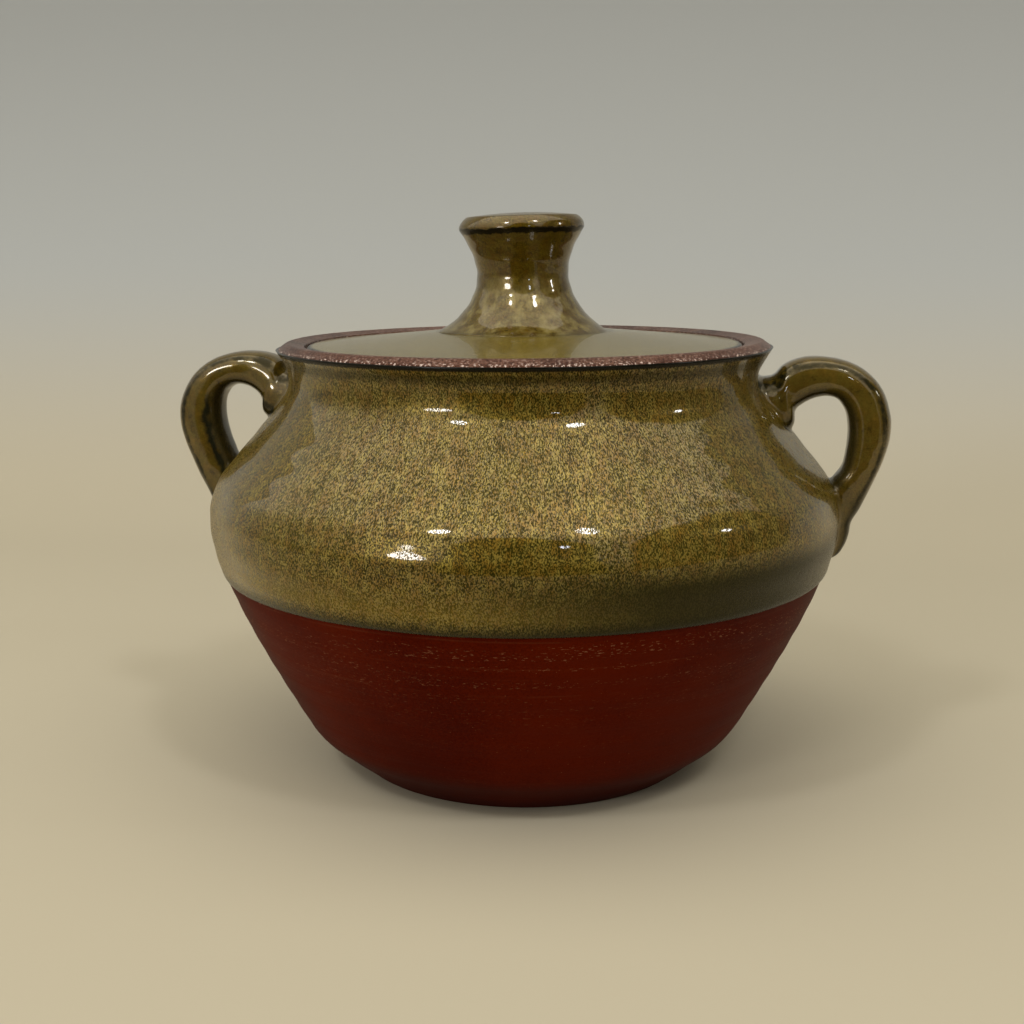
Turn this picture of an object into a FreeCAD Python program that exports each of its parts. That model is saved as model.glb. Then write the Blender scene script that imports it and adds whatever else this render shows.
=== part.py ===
"""Lidded stoneware bean pot, wheel thrown, with two pulled loop handles.

The clay pieces are a thrown pot with a gallery for its lid, two handles luted to the
shoulder, a turned lid and the knob thrown onto it.  The fired glaze lies over the clay
as coats of its own: one round the outside, one inside the pot, and one on each side of
the lid.  Millimetres, +Z up, origin at the middle of the foot, on the table.  The
handles stand along X.
"""
import FreeCAD, Part
import os

# ---- Pot, from the table upwards: radii from the axis, and rises from one level to the next
FOOT_RADIUS = 54.0            # the flat that stands on the table
FOOT_EDGE_ROUND = 0.8
FOOT_BEVEL_RISE = 12.4        # trimmed bevel between the flat and the wall
FOOT_BEVEL_RUN = 15.4         # how far the bevel runs outwards
BEVEL_ROUND = 9.0             # softening of the corner between bevel and wall
FOOT_RECESS_RADIUS = 42.0     # shallow trimmed hollow under the foot
FOOT_RECESS_DEPTH = 1.5
BELLY_RADIUS = 99.2           # clay, at its widest
BELLY_RISE = 69.0             # widest level above the top of the bevel
NECK_RADIUS = 75.0            # clay, at its narrowest
NECK_RISE = 43.8              # narrowest level above the widest
SHOULDER_TURN = 8.2           # belly and conical shoulder would meet this far above the widest
NECK_TURN = 5.4               # shoulder and neck would meet this far below the narrowest
LIP_FLARE = 2.7               # how far the lip stands out beyond the neck
LIP_RISE = 8.4
RIM_BEVEL_RUN = 2.9           # bare outer bevel of the rim
RIM_BEVEL_RISE = 2.1
RIM_CREST_WIDTH = 0.9         # soft top of the rim
RIM_LAND_RUN = 4.7            # bare slope from the crest down to the lid
RIM_LAND_DROP = 1.0
GALLERY_DEPTH = 4.9           # from the low edge of that slope down to the ledge
LEDGE_WIDTH = 6.6             # the ledge that the lid sits on
LEDGE_THICKNESS = 5.2
WALL = 6.4
FLOOR = 8.0

# ---- Glaze
GLAZE = 0.7                   # outer coat, on the lid too
GLAZE_ROLL = 0.85             # radius of the thick edge where the coat stops on the wall
GLAZE_LINE_RISE = 52.0        # glaze stops this far above the bevel
LINER_GLAZE = 0.5             # inside the pot and under the lid

# ---- Lid
LID_CLEARANCE = 0.5           # between the lid's edge and the gallery wall
LID_EDGE = 4.0                # thickness of clay at the lid's edge
LID_CROWN = 3.8               # rise of the top from its edge to the knob
LID_WALL = 6.2                # thickness of the lid inside its flange
FLANGE_CLEARANCE = 1.6        # between the flange and the throat
FLANGE_WALL = 5.0
FLANGE_DEPTH = 9.0            # below the ledge

# ---- Knob
KNOB_FOOT_RADIUS = 26.5       # where its flare meets the lid
KNOB_WAIST_RADIUS = 14.4
KNOB_WAIST_RISE = 18.0        # above the lid's crown
KNOB_EDGE_RADIUS = 19.7       # the sharp edge under the cap
KNOB_EDGE_RISE = 13.8         # above the waist
KNOB_CAP_RADIUS = 17.3        # where the rounded side of the cap meets its top
KNOB_CAP_RISE = 3.9
KNOB_DOME_RISE = 1.1

# ---- Handles
HANDLE_STAND_OUT = 14.6       # beyond the glazed belly
HANDLE_BELOW_CREST = 4.5      # top of the loop under the rim's crest
HANDLE_THICKNESS = 12.4       # measured away from the pot
HANDLE_WIDTH = 16.5           # measured round the pot
ROOT_BELOW_NECK = 8.6         # level of the upper root
ROOT_THICKNESS = 18.0
ROOT_WIDTH = 21.0
ROOT_SINK = 9.0               # how far the end section lies inside the wall
TAIL_ABOVE_BELLY = 9.0        # level where the lower end runs onto the wall
TAIL_LENGTH = 22.5
TAIL_WIDTH = 10.0
TAIL_THICKNESS = 3.0          # how far the pressed tail stands off the clay

# ---- Levels and radii that follow
BEVEL_TOP = FOOT_BEVEL_RISE
BEVEL_RADIUS = FOOT_RADIUS + FOOT_BEVEL_RUN
BELLY_LEVEL = BEVEL_TOP + BELLY_RISE
NECK_LEVEL = BELLY_LEVEL + NECK_RISE
LIP_LEVEL = NECK_LEVEL + LIP_RISE
LIP_RADIUS = NECK_RADIUS + LIP_FLARE
CREST_LEVEL = LIP_LEVEL + RIM_BEVEL_RISE
CREST_RADIUS = LIP_RADIUS - RIM_BEVEL_RUN
GALLERY_RADIUS = CREST_RADIUS - RIM_CREST_WIDTH - RIM_LAND_RUN
GALLERY_TOP = CREST_LEVEL - RIM_LAND_DROP
LEDGE_LEVEL = GALLERY_TOP - GALLERY_DEPTH
THROAT_RADIUS = GALLERY_RADIUS - LEDGE_WIDTH
GLAZE_LINE = BEVEL_TOP + GLAZE_LINE_RISE
LID_RADIUS = GALLERY_RADIUS - LID_CLEARANCE - GLAZE
LID_EDGE_TOP = LEDGE_LEVEL + LID_EDGE
LID_CROWN_TOP = LID_EDGE_TOP + LID_CROWN
FLANGE_RADIUS = THROAT_RADIUS - LINER_GLAZE - FLANGE_CLEARANCE
FLANGE_BORE = FLANGE_RADIUS - FLANGE_WALL
FLANGE_BOTTOM = LEDGE_LEVEL - FLANGE_DEPTH
KNOB_FOOT_LEVEL = LID_CROWN_TOP + GLAZE
WAIST_LEVEL = KNOB_FOOT_LEVEL + KNOB_WAIST_RISE
KNOB_EDGE_LEVEL = WAIST_LEVEL + KNOB_EDGE_RISE
CAP_LEVEL = KNOB_EDGE_LEVEL + KNOB_CAP_RISE
KNOB_TOP = CAP_LEVEL + KNOB_DOME_RISE

CORNER_BULGE = 2 ** 0.5 - 1    # of the way from chord to corner, on a quarter circle
LOFT_DEGREE = 3               # cubic along the handle, so that it doesn't swing between sections
AXIS_START = FreeCAD.Vector(0, 0, 0)
AXIS = FreeCAD.Vector(0, 0, 1)


# ---- Drawing a half section in the XZ plane, and turning it
def at(radius, level):
    """A point of a half section."""
    return FreeCAD.Vector(radius, 0, level)


def line(start, end):
    return Part.makeLine(start, end)


def curve(*poles):
    """A Bezier curve: its ends are the first and last pole, the others pull it."""
    bezier = Part.BezierCurve()
    bezier.setPoles(list(poles))
    return bezier.toShape()


def rounded(start, corner, end):
    """The arc from `start` to `end` that bulges towards the corner they meet at."""
    chord_middle = (start + end) * 0.5
    middle = chord_middle + (corner - chord_middle) * CORNER_BULGE
    return Part.Arc(start, middle, end).toShape()


def turned(edges):
    """The solid that a closed half section sweeps round the axis."""
    section = Part.Face(Part.Wire(edges))
    solid = section.revolve(AXIS_START, AXIS, 360)
    solid.fix(1e-6, 1e-6, 1e-6)
    return solid


def ring_slab(radius, low, high):
    """A disc-shaped block between two levels."""
    return Part.makeCylinder(radius, high - low, at(0, low))


def outer_wall(coat):
    """Edges of the pot's outside from the bevel to the lip, `coat` outside the clay."""
    corner = at(BEVEL_RADIUS + coat, BEVEL_TOP)
    belly = at(BELLY_RADIUS + coat, BELLY_LEVEL)
    neck = at(NECK_RADIUS + coat, NECK_LEVEL)
    lip = at(LIP_RADIUS + coat * 0.5, LIP_LEVEL)
    span = BELLY_RADIUS - BEVEL_RADIUS
    wall = curve(
        corner,
        at(corner.x + 0.567 * span, BEVEL_TOP + 0.42 * BELLY_RISE),
        at(belly.x, BELLY_LEVEL - 0.22 * BELLY_RISE),
        belly,
    )
    shoulder_corner = at(belly.x, BELLY_LEVEL + SHOULDER_TURN)
    neck_corner = at(neck.x, NECK_LEVEL - NECK_TURN)
    slope = neck_corner - shoulder_corner
    slope.normalize()
    shoulder_start = shoulder_corner + slope * SHOULDER_TURN
    shoulder_end = neck_corner - slope * (1.2 * NECK_TURN)
    return [
        wall,
        curve(belly, shoulder_corner, shoulder_start),
        line(shoulder_start, shoulder_end),
        curve(shoulder_end, neck_corner, neck),
        curve(neck, at(neck.x, NECK_LEVEL + 0.36 * LIP_RISE), lip),
    ]


def outer_envelope(coat):
    """The pot's outside as a full solid from the bevel's top to the lip."""
    edges = outer_wall(coat)
    bottom = edges[0].Vertexes[0].Point
    top = edges[-1].Vertexes[-1].Point
    edges.append(line(top, at(0, top.z)))
    edges.append(line(at(0, top.z), at(0, bottom.z)))
    edges.append(line(at(0, bottom.z), bottom))
    return turned(edges)


def clay_envelope():
    """The whole outside of the clay, from the table to the rim's crest, not yet hollow."""
    edge = FOOT_EDGE_ROUND
    corner = at(BEVEL_RADIUS, BEVEL_TOP)
    lip = at(LIP_RADIUS, LIP_LEVEL)
    crest = at(CREST_RADIUS, CREST_LEVEL)
    land = at(CREST_RADIUS - RIM_CREST_WIDTH, CREST_LEVEL)
    gallery_edge = at(GALLERY_RADIUS, GALLERY_TOP)
    edges = [
        line(at(0, 0), at(FOOT_RADIUS - edge, 0)),
        rounded(at(FOOT_RADIUS - edge, 0), at(FOOT_RADIUS, 0), at(FOOT_RADIUS + edge, edge)),
        line(at(FOOT_RADIUS + edge, edge), corner),
    ]
    edges += outer_wall(0)
    edges += [
        line(lip, crest),
        rounded(crest, at(CREST_RADIUS - RIM_CREST_WIDTH / 2, CREST_LEVEL + RIM_CREST_WIDTH / 3), land),
        line(land, gallery_edge),
        line(gallery_edge, at(0, GALLERY_TOP)),
        line(at(0, GALLERY_TOP), at(0, 0)),
    ]
    clay = turned(edges)
    corner_edges = [e for e in clay.Edges if abs(e.CenterOfMass.z - BEVEL_TOP) < 0.001 and e.Length > corner.x]
    return clay.makeFillet(BEVEL_ROUND, corner_edges)


def inside_edges(inset):
    """Edges of the pot's hollow from floor to throat, `inset` inside the clay surface."""
    floor_level = FLOOR + inset
    floor_end = at(FOOT_RADIUS - 2.5 * WALL, floor_level)
    belly = at(BELLY_RADIUS - WALL - inset, BELLY_LEVEL)
    neck = at(NECK_RADIUS - WALL - inset, LEDGE_LEVEL - 1.7 * LEDGE_THICKNESS)
    under_ledge = at(THROAT_RADIUS - inset, LEDGE_LEVEL - LEDGE_THICKNESS)
    rise = neck.z - belly.z
    bowl = curve(
        floor_end,
        at(BEVEL_RADIUS - 0.6 * WALL - inset, floor_level + 0.1 * FLOOR),
        at(belly.x, BELLY_LEVEL - 0.42 * BELLY_RISE),
        belly,
    )
    shoulder = curve(
        belly,
        at(belly.x, belly.z + 0.42 * rise),
        at(neck.x, neck.z - 0.22 * rise),
        neck,
    )
    ledge_curve = curve(neck, at(neck.x, (neck.z + under_ledge.z) / 2), under_ledge)
    throat = line(under_ledge, at(under_ledge.x, LEDGE_LEVEL))
    return [line(at(0, floor_level), floor_end), bowl, shoulder, ledge_curve, throat]


def hollow(inset):
    """The space inside the pot, up to the ledge."""
    edges = inside_edges(inset)
    top = edges[-1].Vertexes[-1].Point
    edges.append(line(top, at(0, LEDGE_LEVEL)))
    edges.append(line(at(0, LEDGE_LEVEL), at(0, FLOOR + inset)))
    return turned(edges)


def wall_radius(level):
    """Radius of the clay outside at a level between the bevel and the lip."""
    level_line = line(at(0, level), at(2 * BELLY_RADIUS, level))
    crossings = []
    for edge in outer_wall(0):
        gap, points, _ = edge.distToShape(level_line)
        crossings.append((gap, points[0][0].x))
    return min(crossings)[1]


# ---- Pot
def pot_body(clay):
    """The thrown pot: hollow, with its gallery and ledge, and the foot trimmed underneath."""
    gallery = ring_slab(GALLERY_RADIUS, LEDGE_LEVEL, CREST_LEVEL + RIM_CREST_WIDTH)
    recess = Part.makeCone(FOOT_RECESS_RADIUS, FOOT_RECESS_RADIUS - FOOT_RECESS_DEPTH, FOOT_RECESS_DEPTH)
    return clay.cut(hollow(0)).cut(gallery).cut(recess)


def outer_glaze(clay, handles):
    """The coat on the outside: from its rolled lower edge up to the bare rim."""
    coat = outer_envelope(GLAZE).common(ring_slab(2 * BELLY_RADIUS, GLAZE_LINE + GLAZE_ROLL, LIP_LEVEL))
    roll_level = GLAZE_LINE + GLAZE_ROLL
    roll = Part.makeTorus(wall_radius(roll_level) + GLAZE_ROLL / 3, GLAZE_ROLL, at(0, roll_level))
    coat = coat.fuse(roll).cut(clay)
    for handle in handles:
        coat = coat.cut(handle)
    return coat


def liner_glaze():
    """The coat inside the pot, from the floor up the throat to the bare ledge."""
    return hollow(0).cut(hollow(LINER_GLAZE))


# ---- Lid
def lid_top(coat):
    """The lid above its seat as a full solid, `coat` outside the clay."""
    edge_round = LID_EDGE / 4
    rim = at(LID_RADIUS + coat, LID_EDGE_TOP + coat - edge_round)
    shoulder = at(LID_RADIUS + coat - edge_round, LID_EDGE_TOP + coat)
    crown = at(KNOB_FOOT_RADIUS, LID_CROWN_TOP + coat)
    base = LEDGE_LEVEL if coat == 0 else rim.z - edge_round
    return turned([
        line(at(0, base), at(rim.x, base)),
        line(at(rim.x, base), rim),
        rounded(rim, at(rim.x, shoulder.z), shoulder),
        line(shoulder, crown),
        line(crown, at(0, crown.z)),
        line(at(0, crown.z), at(0, base)),
    ])


def lid_hollow(inset):
    """The shallow dish under the lid, inside its flange."""
    bore = FLANGE_BORE - inset
    middle = LID_CROWN_TOP - LID_WALL - inset
    edge_level = LEDGE_LEVEL - inset
    return turned([
        line(at(0, FLANGE_BOTTOM), at(bore, FLANGE_BOTTOM)),
        line(at(bore, FLANGE_BOTTOM), at(bore, edge_level)),
        curve(at(bore, edge_level), at(bore * 0.6, middle), at(0, middle)),
        line(at(0, middle), at(0, FLANGE_BOTTOM)),
    ])


def lid():
    """The turned lid: a disc that drops into the gallery, with a locating flange below."""
    flange = ring_slab(FLANGE_RADIUS, FLANGE_BOTTOM, LEDGE_LEVEL)
    return lid_top(0).fuse(flange).removeSplitter().cut(lid_hollow(0))


def lid_glaze(clay_lid):
    """The coat on the lid's top, round its edge and up to the knob."""
    knob_foot = ring_slab(KNOB_FOOT_RADIUS, LEDGE_LEVEL, KNOB_TOP)
    return lid_top(GLAZE).cut(clay_lid).cut(knob_foot).cut(lid_hollow(0))


def lid_liner_glaze():
    """The coat in the dish under the lid; the flange's bottom edge is bare."""
    bare = ring_slab(FLANGE_BORE, FLANGE_BOTTOM, FLANGE_BOTTOM + 2 * LINER_GLAZE)
    return lid_hollow(0).cut(lid_hollow(LINER_GLAZE)).cut(bare)


def knob():
    """The spool-shaped knob thrown onto the lid: flared foot, waist, sharp edge and cap."""
    foot = at(KNOB_FOOT_RADIUS, KNOB_FOOT_LEVEL)
    waist = at(KNOB_WAIST_RADIUS, WAIST_LEVEL)
    edge = at(KNOB_EDGE_RADIUS, KNOB_EDGE_LEVEL)
    cap = at(KNOB_CAP_RADIUS, CAP_LEVEL)
    foot_run = KNOB_FOOT_RADIUS - KNOB_WAIST_RADIUS
    edge_run = KNOB_EDGE_RADIUS - KNOB_WAIST_RADIUS
    return turned([
        line(at(0, LID_CROWN_TOP), at(foot.x, LID_CROWN_TOP)),
        line(at(foot.x, LID_CROWN_TOP), foot),
        curve(
            foot,
            at(waist.x + 0.54 * foot_run, foot.z + 0.15 * KNOB_WAIST_RISE),
            at(waist.x, foot.z + 0.54 * KNOB_WAIST_RISE),
            waist,
        ),
        curve(
            waist,
            at(waist.x, waist.z + 0.34 * KNOB_EDGE_RISE),
            at(waist.x + 0.42 * edge_run, waist.z + 0.66 * KNOB_EDGE_RISE),
            edge,
        ),
        curve(edge, at(edge.x, edge.z + 0.6 * KNOB_CAP_RISE), cap),
        curve(cap, at(0.5 * cap.x, KNOB_TOP), at(0, KNOB_TOP)),
        line(at(0, KNOB_TOP), at(0, LID_CROWN_TOP)),
    ])


# ---- Handles
def oval(centre, heading, thickness, width):
    """One section of a handle, square to its heading in the XZ plane."""
    across = FreeCAD.Vector(-heading.z, 0, heading.x)
    across.normalize()
    long_end = centre + FreeCAD.Vector(0, width / 2, 0)
    short_end = centre + across * (min(thickness, 0.98 * width) / 2)
    return Part.Wire(Part.Ellipse(long_end, short_end, centre).toShape())


def handle_stations():
    """Centres, thicknesses and widths from the upper root round the loop to the tail.

    Places along the loop are shares of its reach (from the wall at the upper root to the
    outermost centre) and of its height (from the lower root to the crown).
    """
    root_level = NECK_LEVEL - ROOT_BELOW_NECK
    root_radius = wall_radius(root_level)
    low_level = BELLY_LEVEL + TAIL_ABOVE_BELLY
    crown_level = CREST_LEVEL - HANDLE_BELOW_CREST - HANDLE_THICKNESS / 2
    side_radius = BELLY_RADIUS + GLAZE + HANDLE_STAND_OUT - HANDLE_THICKNESS / 2
    reach = side_radius - root_radius
    height = crown_level - low_level
    loop = [  # share of reach, of height and of thickness
        (0.27, 0.95, 1.09),
        (0.56, 1.0, 1.0),
        (0.83, 0.905, 1.0),
        (0.985, 0.675, 1.0),
        (0.985, 0.42, 1.0),
        (0.92, 0.18, 0.88),
        (0.79, -0.03, 0.98),
    ]
    tail = [  # share of the tail's length, centre off the clay, share of what the loop is thicker
        (0.38, 0.2, 0.5),
        (0.62, 0.5, 0.25),
        (0.84, 0.2, 0.1),
        (1.0, -1.9, 0.0),
    ]
    stations = [
        (at(root_radius - ROOT_SINK, root_level - 0.6 * ROOT_SINK), ROOT_THICKNESS, ROOT_WIDTH),
        (at(root_radius + 0.07 * reach, root_level), 0.86 * ROOT_THICKNESS, 0.94 * ROOT_WIDTH),
    ]
    for out, up, share in loop:
        centre = at(root_radius + out * reach, low_level + up * height)
        stations.append((centre, share * HANDLE_THICKNESS, HANDLE_WIDTH))
    for down, stand, share in tail:
        level = low_level - down * TAIL_LENGTH
        thickness = TAIL_THICKNESS * 2 + share * (HANDLE_THICKNESS - TAIL_THICKNESS)
        width = TAIL_WIDTH + share * (HANDLE_WIDTH - TAIL_WIDTH)
        stations.append((at(wall_radius(level) + stand, level), thickness, width))
    return stations


def pulled_handle():
    """A handle on the +X side, its flared root and its pressed tail still running into the wall."""
    stations = handle_stations()
    centres = [station[0] for station in stations]
    befores = centres[:1] + centres[:-1]
    afters = centres[1:] + centres[-1:]
    sections = []
    for (centre, thickness, width), before, after in zip(stations, befores, afters):
        sections.append(oval(centre, after - before, thickness, width))
    return Part.makeLoft(sections, True, False, False, LOFT_DEGREE)


def build():
    """Every node of the pot by name."""
    clay = clay_envelope()
    right = pulled_handle()
    left = right.mirror(AXIS_START, FreeCAD.Vector(1, 0, 0))
    clay_lid = lid()
    return {
        "pot_body": pot_body(clay),
        "handle_right": right.cut(clay),
        "handle_left": left.cut(clay),
        "outer_glaze": outer_glaze(clay, (right, left)),
        "liner_glaze": liner_glaze(),
        "lid": clay_lid,
        "lid_glaze": lid_glaze(clay_lid),
        "lid_liner_glaze": lid_liner_glaze(),
        "knob": knob(),
    }


os.makedirs("parts", exist_ok=True)
for name, shape in build().items():
    shape.exportStep(f"parts/{name}.step")
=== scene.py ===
import bmesh
import bpy
import math
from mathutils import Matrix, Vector


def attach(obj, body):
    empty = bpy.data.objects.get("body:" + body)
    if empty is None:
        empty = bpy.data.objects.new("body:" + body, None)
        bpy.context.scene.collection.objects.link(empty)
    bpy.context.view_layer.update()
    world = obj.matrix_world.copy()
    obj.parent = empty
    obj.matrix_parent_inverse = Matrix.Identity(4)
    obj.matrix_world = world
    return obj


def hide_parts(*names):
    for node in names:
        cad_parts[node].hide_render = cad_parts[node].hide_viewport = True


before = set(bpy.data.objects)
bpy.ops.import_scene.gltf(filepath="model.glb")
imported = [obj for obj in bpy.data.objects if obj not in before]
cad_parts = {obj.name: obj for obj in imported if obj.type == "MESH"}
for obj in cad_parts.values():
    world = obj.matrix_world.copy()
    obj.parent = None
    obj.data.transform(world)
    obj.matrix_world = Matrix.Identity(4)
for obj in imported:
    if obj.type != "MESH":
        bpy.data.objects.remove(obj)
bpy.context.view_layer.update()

# ---------------------------------------------------------------------------------------
# The pot: one thrown piece of red stoneware with a gallery at its mouth for the lid.  It
# is trimmed with a tool on the wheel, which leaves fine level lines, and stays bare below
# the glaze line and on the rim, where it fires to a satin red brown.
# ---------------------------------------------------------------------------------------
FOOT_RADIUS = 0.0540
FOOT_ROUND = 0.0008
FOOT_RING = 0.0420             # radius of the trimmed hollow under the foot
FOOT_HOLLOW = 0.0015
BEVEL_RADIUS = 0.0694          # where the trimmed bevel at the foot meets the wall
BEVEL_LEVEL = 0.0124
BEVEL_SOFT = 0.0042            # how far from the bevel's corner its softening starts
BELLY_RADIUS = 0.0992
BELLY_LEVEL = 0.0814
NECK_RADIUS = 0.0738
NECK_LEVEL = 0.1252
SHOULDER_TURN = 0.0082         # from the widest level up to where belly and shoulder would meet
NECK_TURN = 0.0054             # from the narrowest level down to where shoulder and neck would meet
LIP_RADIUS = 0.0777
LIP_LEVEL = 0.1336
CREST_RADIUS = 0.0748
CREST_LEVEL = 0.1357
GALLERY_RADIUS = 0.0692
GALLERY_TOP = 0.1347
LEDGE_LEVEL = 0.1298
THROAT_RADIUS = 0.0626
LEDGE_THICKNESS = 0.0052
THROAT_DEPTH = 0.0088          # from the ledge down to the narrowest level inside
SPONGED = 0.0006               # radius of a corner wiped with a wet sponge
WALL = 0.0064
FLOOR = 0.0080
LEAN = 0.0075                  # rise of the mouth towards the right handle, per metre
LEAN_FROM = 0.090
LEAN_TO = 0.130
THUMB_PRESS = 0.0008           # dent above each handle, where a thumb smoothed the joint
THUMB_LEVEL = 0.1235
THUMB_HEIGHT = 0.0055
THUMB_WIDTH = 0.24             # as the sine of its angle round the pot
SEAM = 1e-6                    # points nearer each other than this are one point
CALM_MIDDLE = 0.012            # nearer the axis than this, the marks of the wheel fade out
COVERED = 0.068                # above this level glaze hides the clay, so it has coarser steps


def run(poles, spacing, marks=1.0, edge=0.0):
    """Points along the Bezier curve of `poles`, a line where there are two of them.

    Each point is (radius, level, marks, edge): how much of the tool's marks it takes, and
    how much it moves with the wavy edge of a glaze.
    """
    poles = [Vector(pole) for pole in poles]
    length = sum((after - before).length for before, after in zip(poles, poles[1:]))
    steps = max(1, round(length / spacing))
    points = []
    for step in range(steps + 1):
        share = step / steps
        row = list(poles)
        while len(row) > 1:
            row = [before.lerp(after, share) for before, after in zip(row, row[1:])]
        points.append((row[0].x, row[0].y, marks, edge))
    return points


def drawn(start, *stretches):
    """A half outline from `start`, of stretches: each has its spacing, its marks and its poles."""
    outline = []
    for spacing, marks, *poles in stretches:
        points = run([start, *poles], spacing, marks)
        outline += points[1:] if outline else points
        start = poles[-1]
    return outline


def outer_runs(coat, spacing, marks=1.0):
    """The pot's outside from the bevel up to the lip, `coat` outside the clay."""
    # The wall swells a little, the shoulder is a cone, and the neck flares into the lip.
    corner = Vector((BEVEL_RADIUS + coat, BEVEL_LEVEL))
    belly = Vector((BELLY_RADIUS + coat, BELLY_LEVEL))
    neck = Vector((NECK_RADIUS + coat, NECK_LEVEL))
    lip = Vector((LIP_RADIUS + coat / 2, LIP_LEVEL))
    rise = BELLY_LEVEL - BEVEL_LEVEL
    wall_poles = [
        (corner.x + 0.567 * (BELLY_RADIUS - BEVEL_RADIUS), BEVEL_LEVEL + 0.42 * rise),
        (belly.x, BELLY_LEVEL - 0.22 * rise),
    ]
    shoulder_corner = Vector((belly.x, BELLY_LEVEL + SHOULDER_TURN))
    neck_corner = Vector((neck.x, NECK_LEVEL - NECK_TURN))
    slope = (neck_corner - shoulder_corner).normalized()
    shoulder_start = shoulder_corner + slope * SHOULDER_TURN
    shoulder_end = neck_corner - slope * 1.2 * NECK_TURN
    flare_pole = (neck.x, NECK_LEVEL + 0.36 * (LIP_LEVEL - NECK_LEVEL))
    return drawn(
        corner,
        (spacing, marks, *wall_poles, belly),
        (spacing, marks, shoulder_corner, shoulder_start),
        (spacing, marks, shoulder_end),
        (spacing, marks, neck_corner, neck),
        (spacing, marks, flare_pole, lip),
    )


def inner_runs(inset, spacing):
    """The pot's hollow from the ledge down to the middle of the floor, `inset` inside the clay."""
    floor_level = FLOOR + inset
    floor_end = (FOOT_RADIUS - 2.5 * WALL, floor_level)
    belly = (BELLY_RADIUS - WALL - inset, BELLY_LEVEL)
    neck = (NECK_RADIUS - WALL - inset, LEDGE_LEVEL - THROAT_DEPTH)
    under_ledge = (THROAT_RADIUS - inset, LEDGE_LEVEL - LEDGE_THICKNESS)
    rise = neck[1] - BELLY_LEVEL
    depth = BELLY_LEVEL - BEVEL_LEVEL
    ledge_pole = (neck[0], (neck[1] + under_ledge[1]) / 2)
    shoulder_poles = [(neck[0], neck[1] - 0.22 * rise), (belly[0], BELLY_LEVEL + 0.42 * rise)]
    bowl_poles = [
        (belly[0], BELLY_LEVEL - 0.42 * depth),
        (BEVEL_RADIUS - 0.6 * WALL - inset, floor_level + 0.1 * FLOOR),
    ]
    return drawn(
        (under_ledge[0], LEDGE_LEVEL),
        (spacing, 0.0, under_ledge),
        (spacing, 1.0, ledge_pole, neck),
        (spacing, 1.0, *shoulder_poles, belly),
        (spacing, 1.0, *bowl_poles, floor_end),
        (spacing, 1.0, (0, floor_level)),
    )


def fill(tree, sockets, values):
    """Gives each socket its value, or links it from another node's socket."""
    for key, value in values.items():
        if isinstance(value, bpy.types.NodeSocket):
            tree.links.new(value, sockets[key])
        else:
            sockets[key].default_value = value


def put(tree, kind, inputs=None, **settings):
    """A new node with its settings and inputs."""
    made = tree.nodes.new(kind)
    for name, value in settings.items():
        setattr(made, name, value)
    fill(tree, made.inputs, inputs or {})
    return made


def result_of(tree, kind, inputs=None, **settings):
    """The first output of a new node."""
    return put(tree, kind, inputs, **settings).outputs[0]


def calc(tree, operation, first, second=0.0, third=0.0):
    """The result of one step of arithmetic."""
    inputs = {0: first, 1: second, 2: third}
    return result_of(tree, "ShaderNodeMath", inputs, operation=operation)


def scaled(tree, value, factor, added):
    """A value times a factor, plus another value."""
    return calc(tree, "MULTIPLY_ADD", value, factor, added)


def times(tree, first, *others):
    """The product of several values."""
    for other in others:
        first = calc(tree, "MULTIPLY", first, other)
    return first


def vector(tree, operation, first, second=(0.0, 0.0, 0.0)):
    """The result of one step of arithmetic on places and directions."""
    inputs = {0: first, "Scale" if operation == "SCALE" else 1: second}
    made = put(tree, "ShaderNodeVectorMath", inputs, operation=operation)
    return made.outputs["Value" if operation == "DOT_PRODUCT" else "Vector"]


def ramp(tree, value, start, end, low=0.0, high=1.0):
    """A value that eases from `low` to `high` as `value` goes from `start` to `end`."""
    inputs = {"Value": value, "From Min": start, "From Max": end, "To Min": low, "To Max": high}
    return result_of(tree, "ShaderNodeMapRange", inputs, interpolation_type="SMOOTHSTEP")


def noise(tree, place, scale, detail=2.0, roughness=0.5):
    """Smooth noise round 0.5 at a place."""
    inputs = {"Vector": place, "Scale": scale, "Detail": detail, "Roughness": roughness}
    return result_of(tree, "ShaderNodeTexNoise", inputs)


def new_tree(name, kind, inputs, outputs):
    """An empty node group, its inputs and its outputs: each a name, or a name and a kind."""
    tree = bpy.data.node_groups.new(name, kind)
    for side, sockets in (("INPUT", inputs), ("OUTPUT", outputs)):
        for socket in sockets:
            label, socket_kind = (socket, "Float") if isinstance(socket, str) else socket
            tree.interface.new_socket(
                name=label, in_out=side, socket_type="NodeSocket" + socket_kind,
            )
    given = tree.nodes.new("NodeGroupInput").outputs
    result = tree.nodes.new("NodeGroupOutput").inputs
    return tree, given, result


def grid_of_turns(tree, outline, rows, turns):
    """A grid of rows by turns, and for each of its points the row and the turn's angle."""
    columns = result_of(tree, "FunctionNodeIntegerMath", {0: turns, 1: 1}, operation="ADD")
    grid = put(tree, "GeometryNodeMeshGrid", {"Vertices X": rows, "Vertices Y": columns})
    cells = {0: result_of(tree, "GeometryNodeInputIndex"), 1: columns}
    row = result_of(tree, "FunctionNodeIntegerMath", cells, operation="DIVIDE")
    column = result_of(tree, "FunctionNodeIntegerMath", cells, operation="MODULO")
    share = calc(tree, "DIVIDE", column, turns)
    return grid.outputs["Mesh"], row, times(tree, share, 2 * math.pi)


def at_row(tree, geometry, row, value, kind="FLOAT"):
    """A value of the outline's point whose number is `row`."""
    inputs = {"Geometry": geometry, "Value": value, "Index": row}
    return result_of(tree, "GeometryNodeSampleIndex", inputs, data_type=kind)


def named(tree, name):
    """A stored number of each point."""
    kind = "GeometryNodeInputNamedAttribute"
    return result_of(tree, kind, {"Name": name}, data_type="FLOAT")


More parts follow.
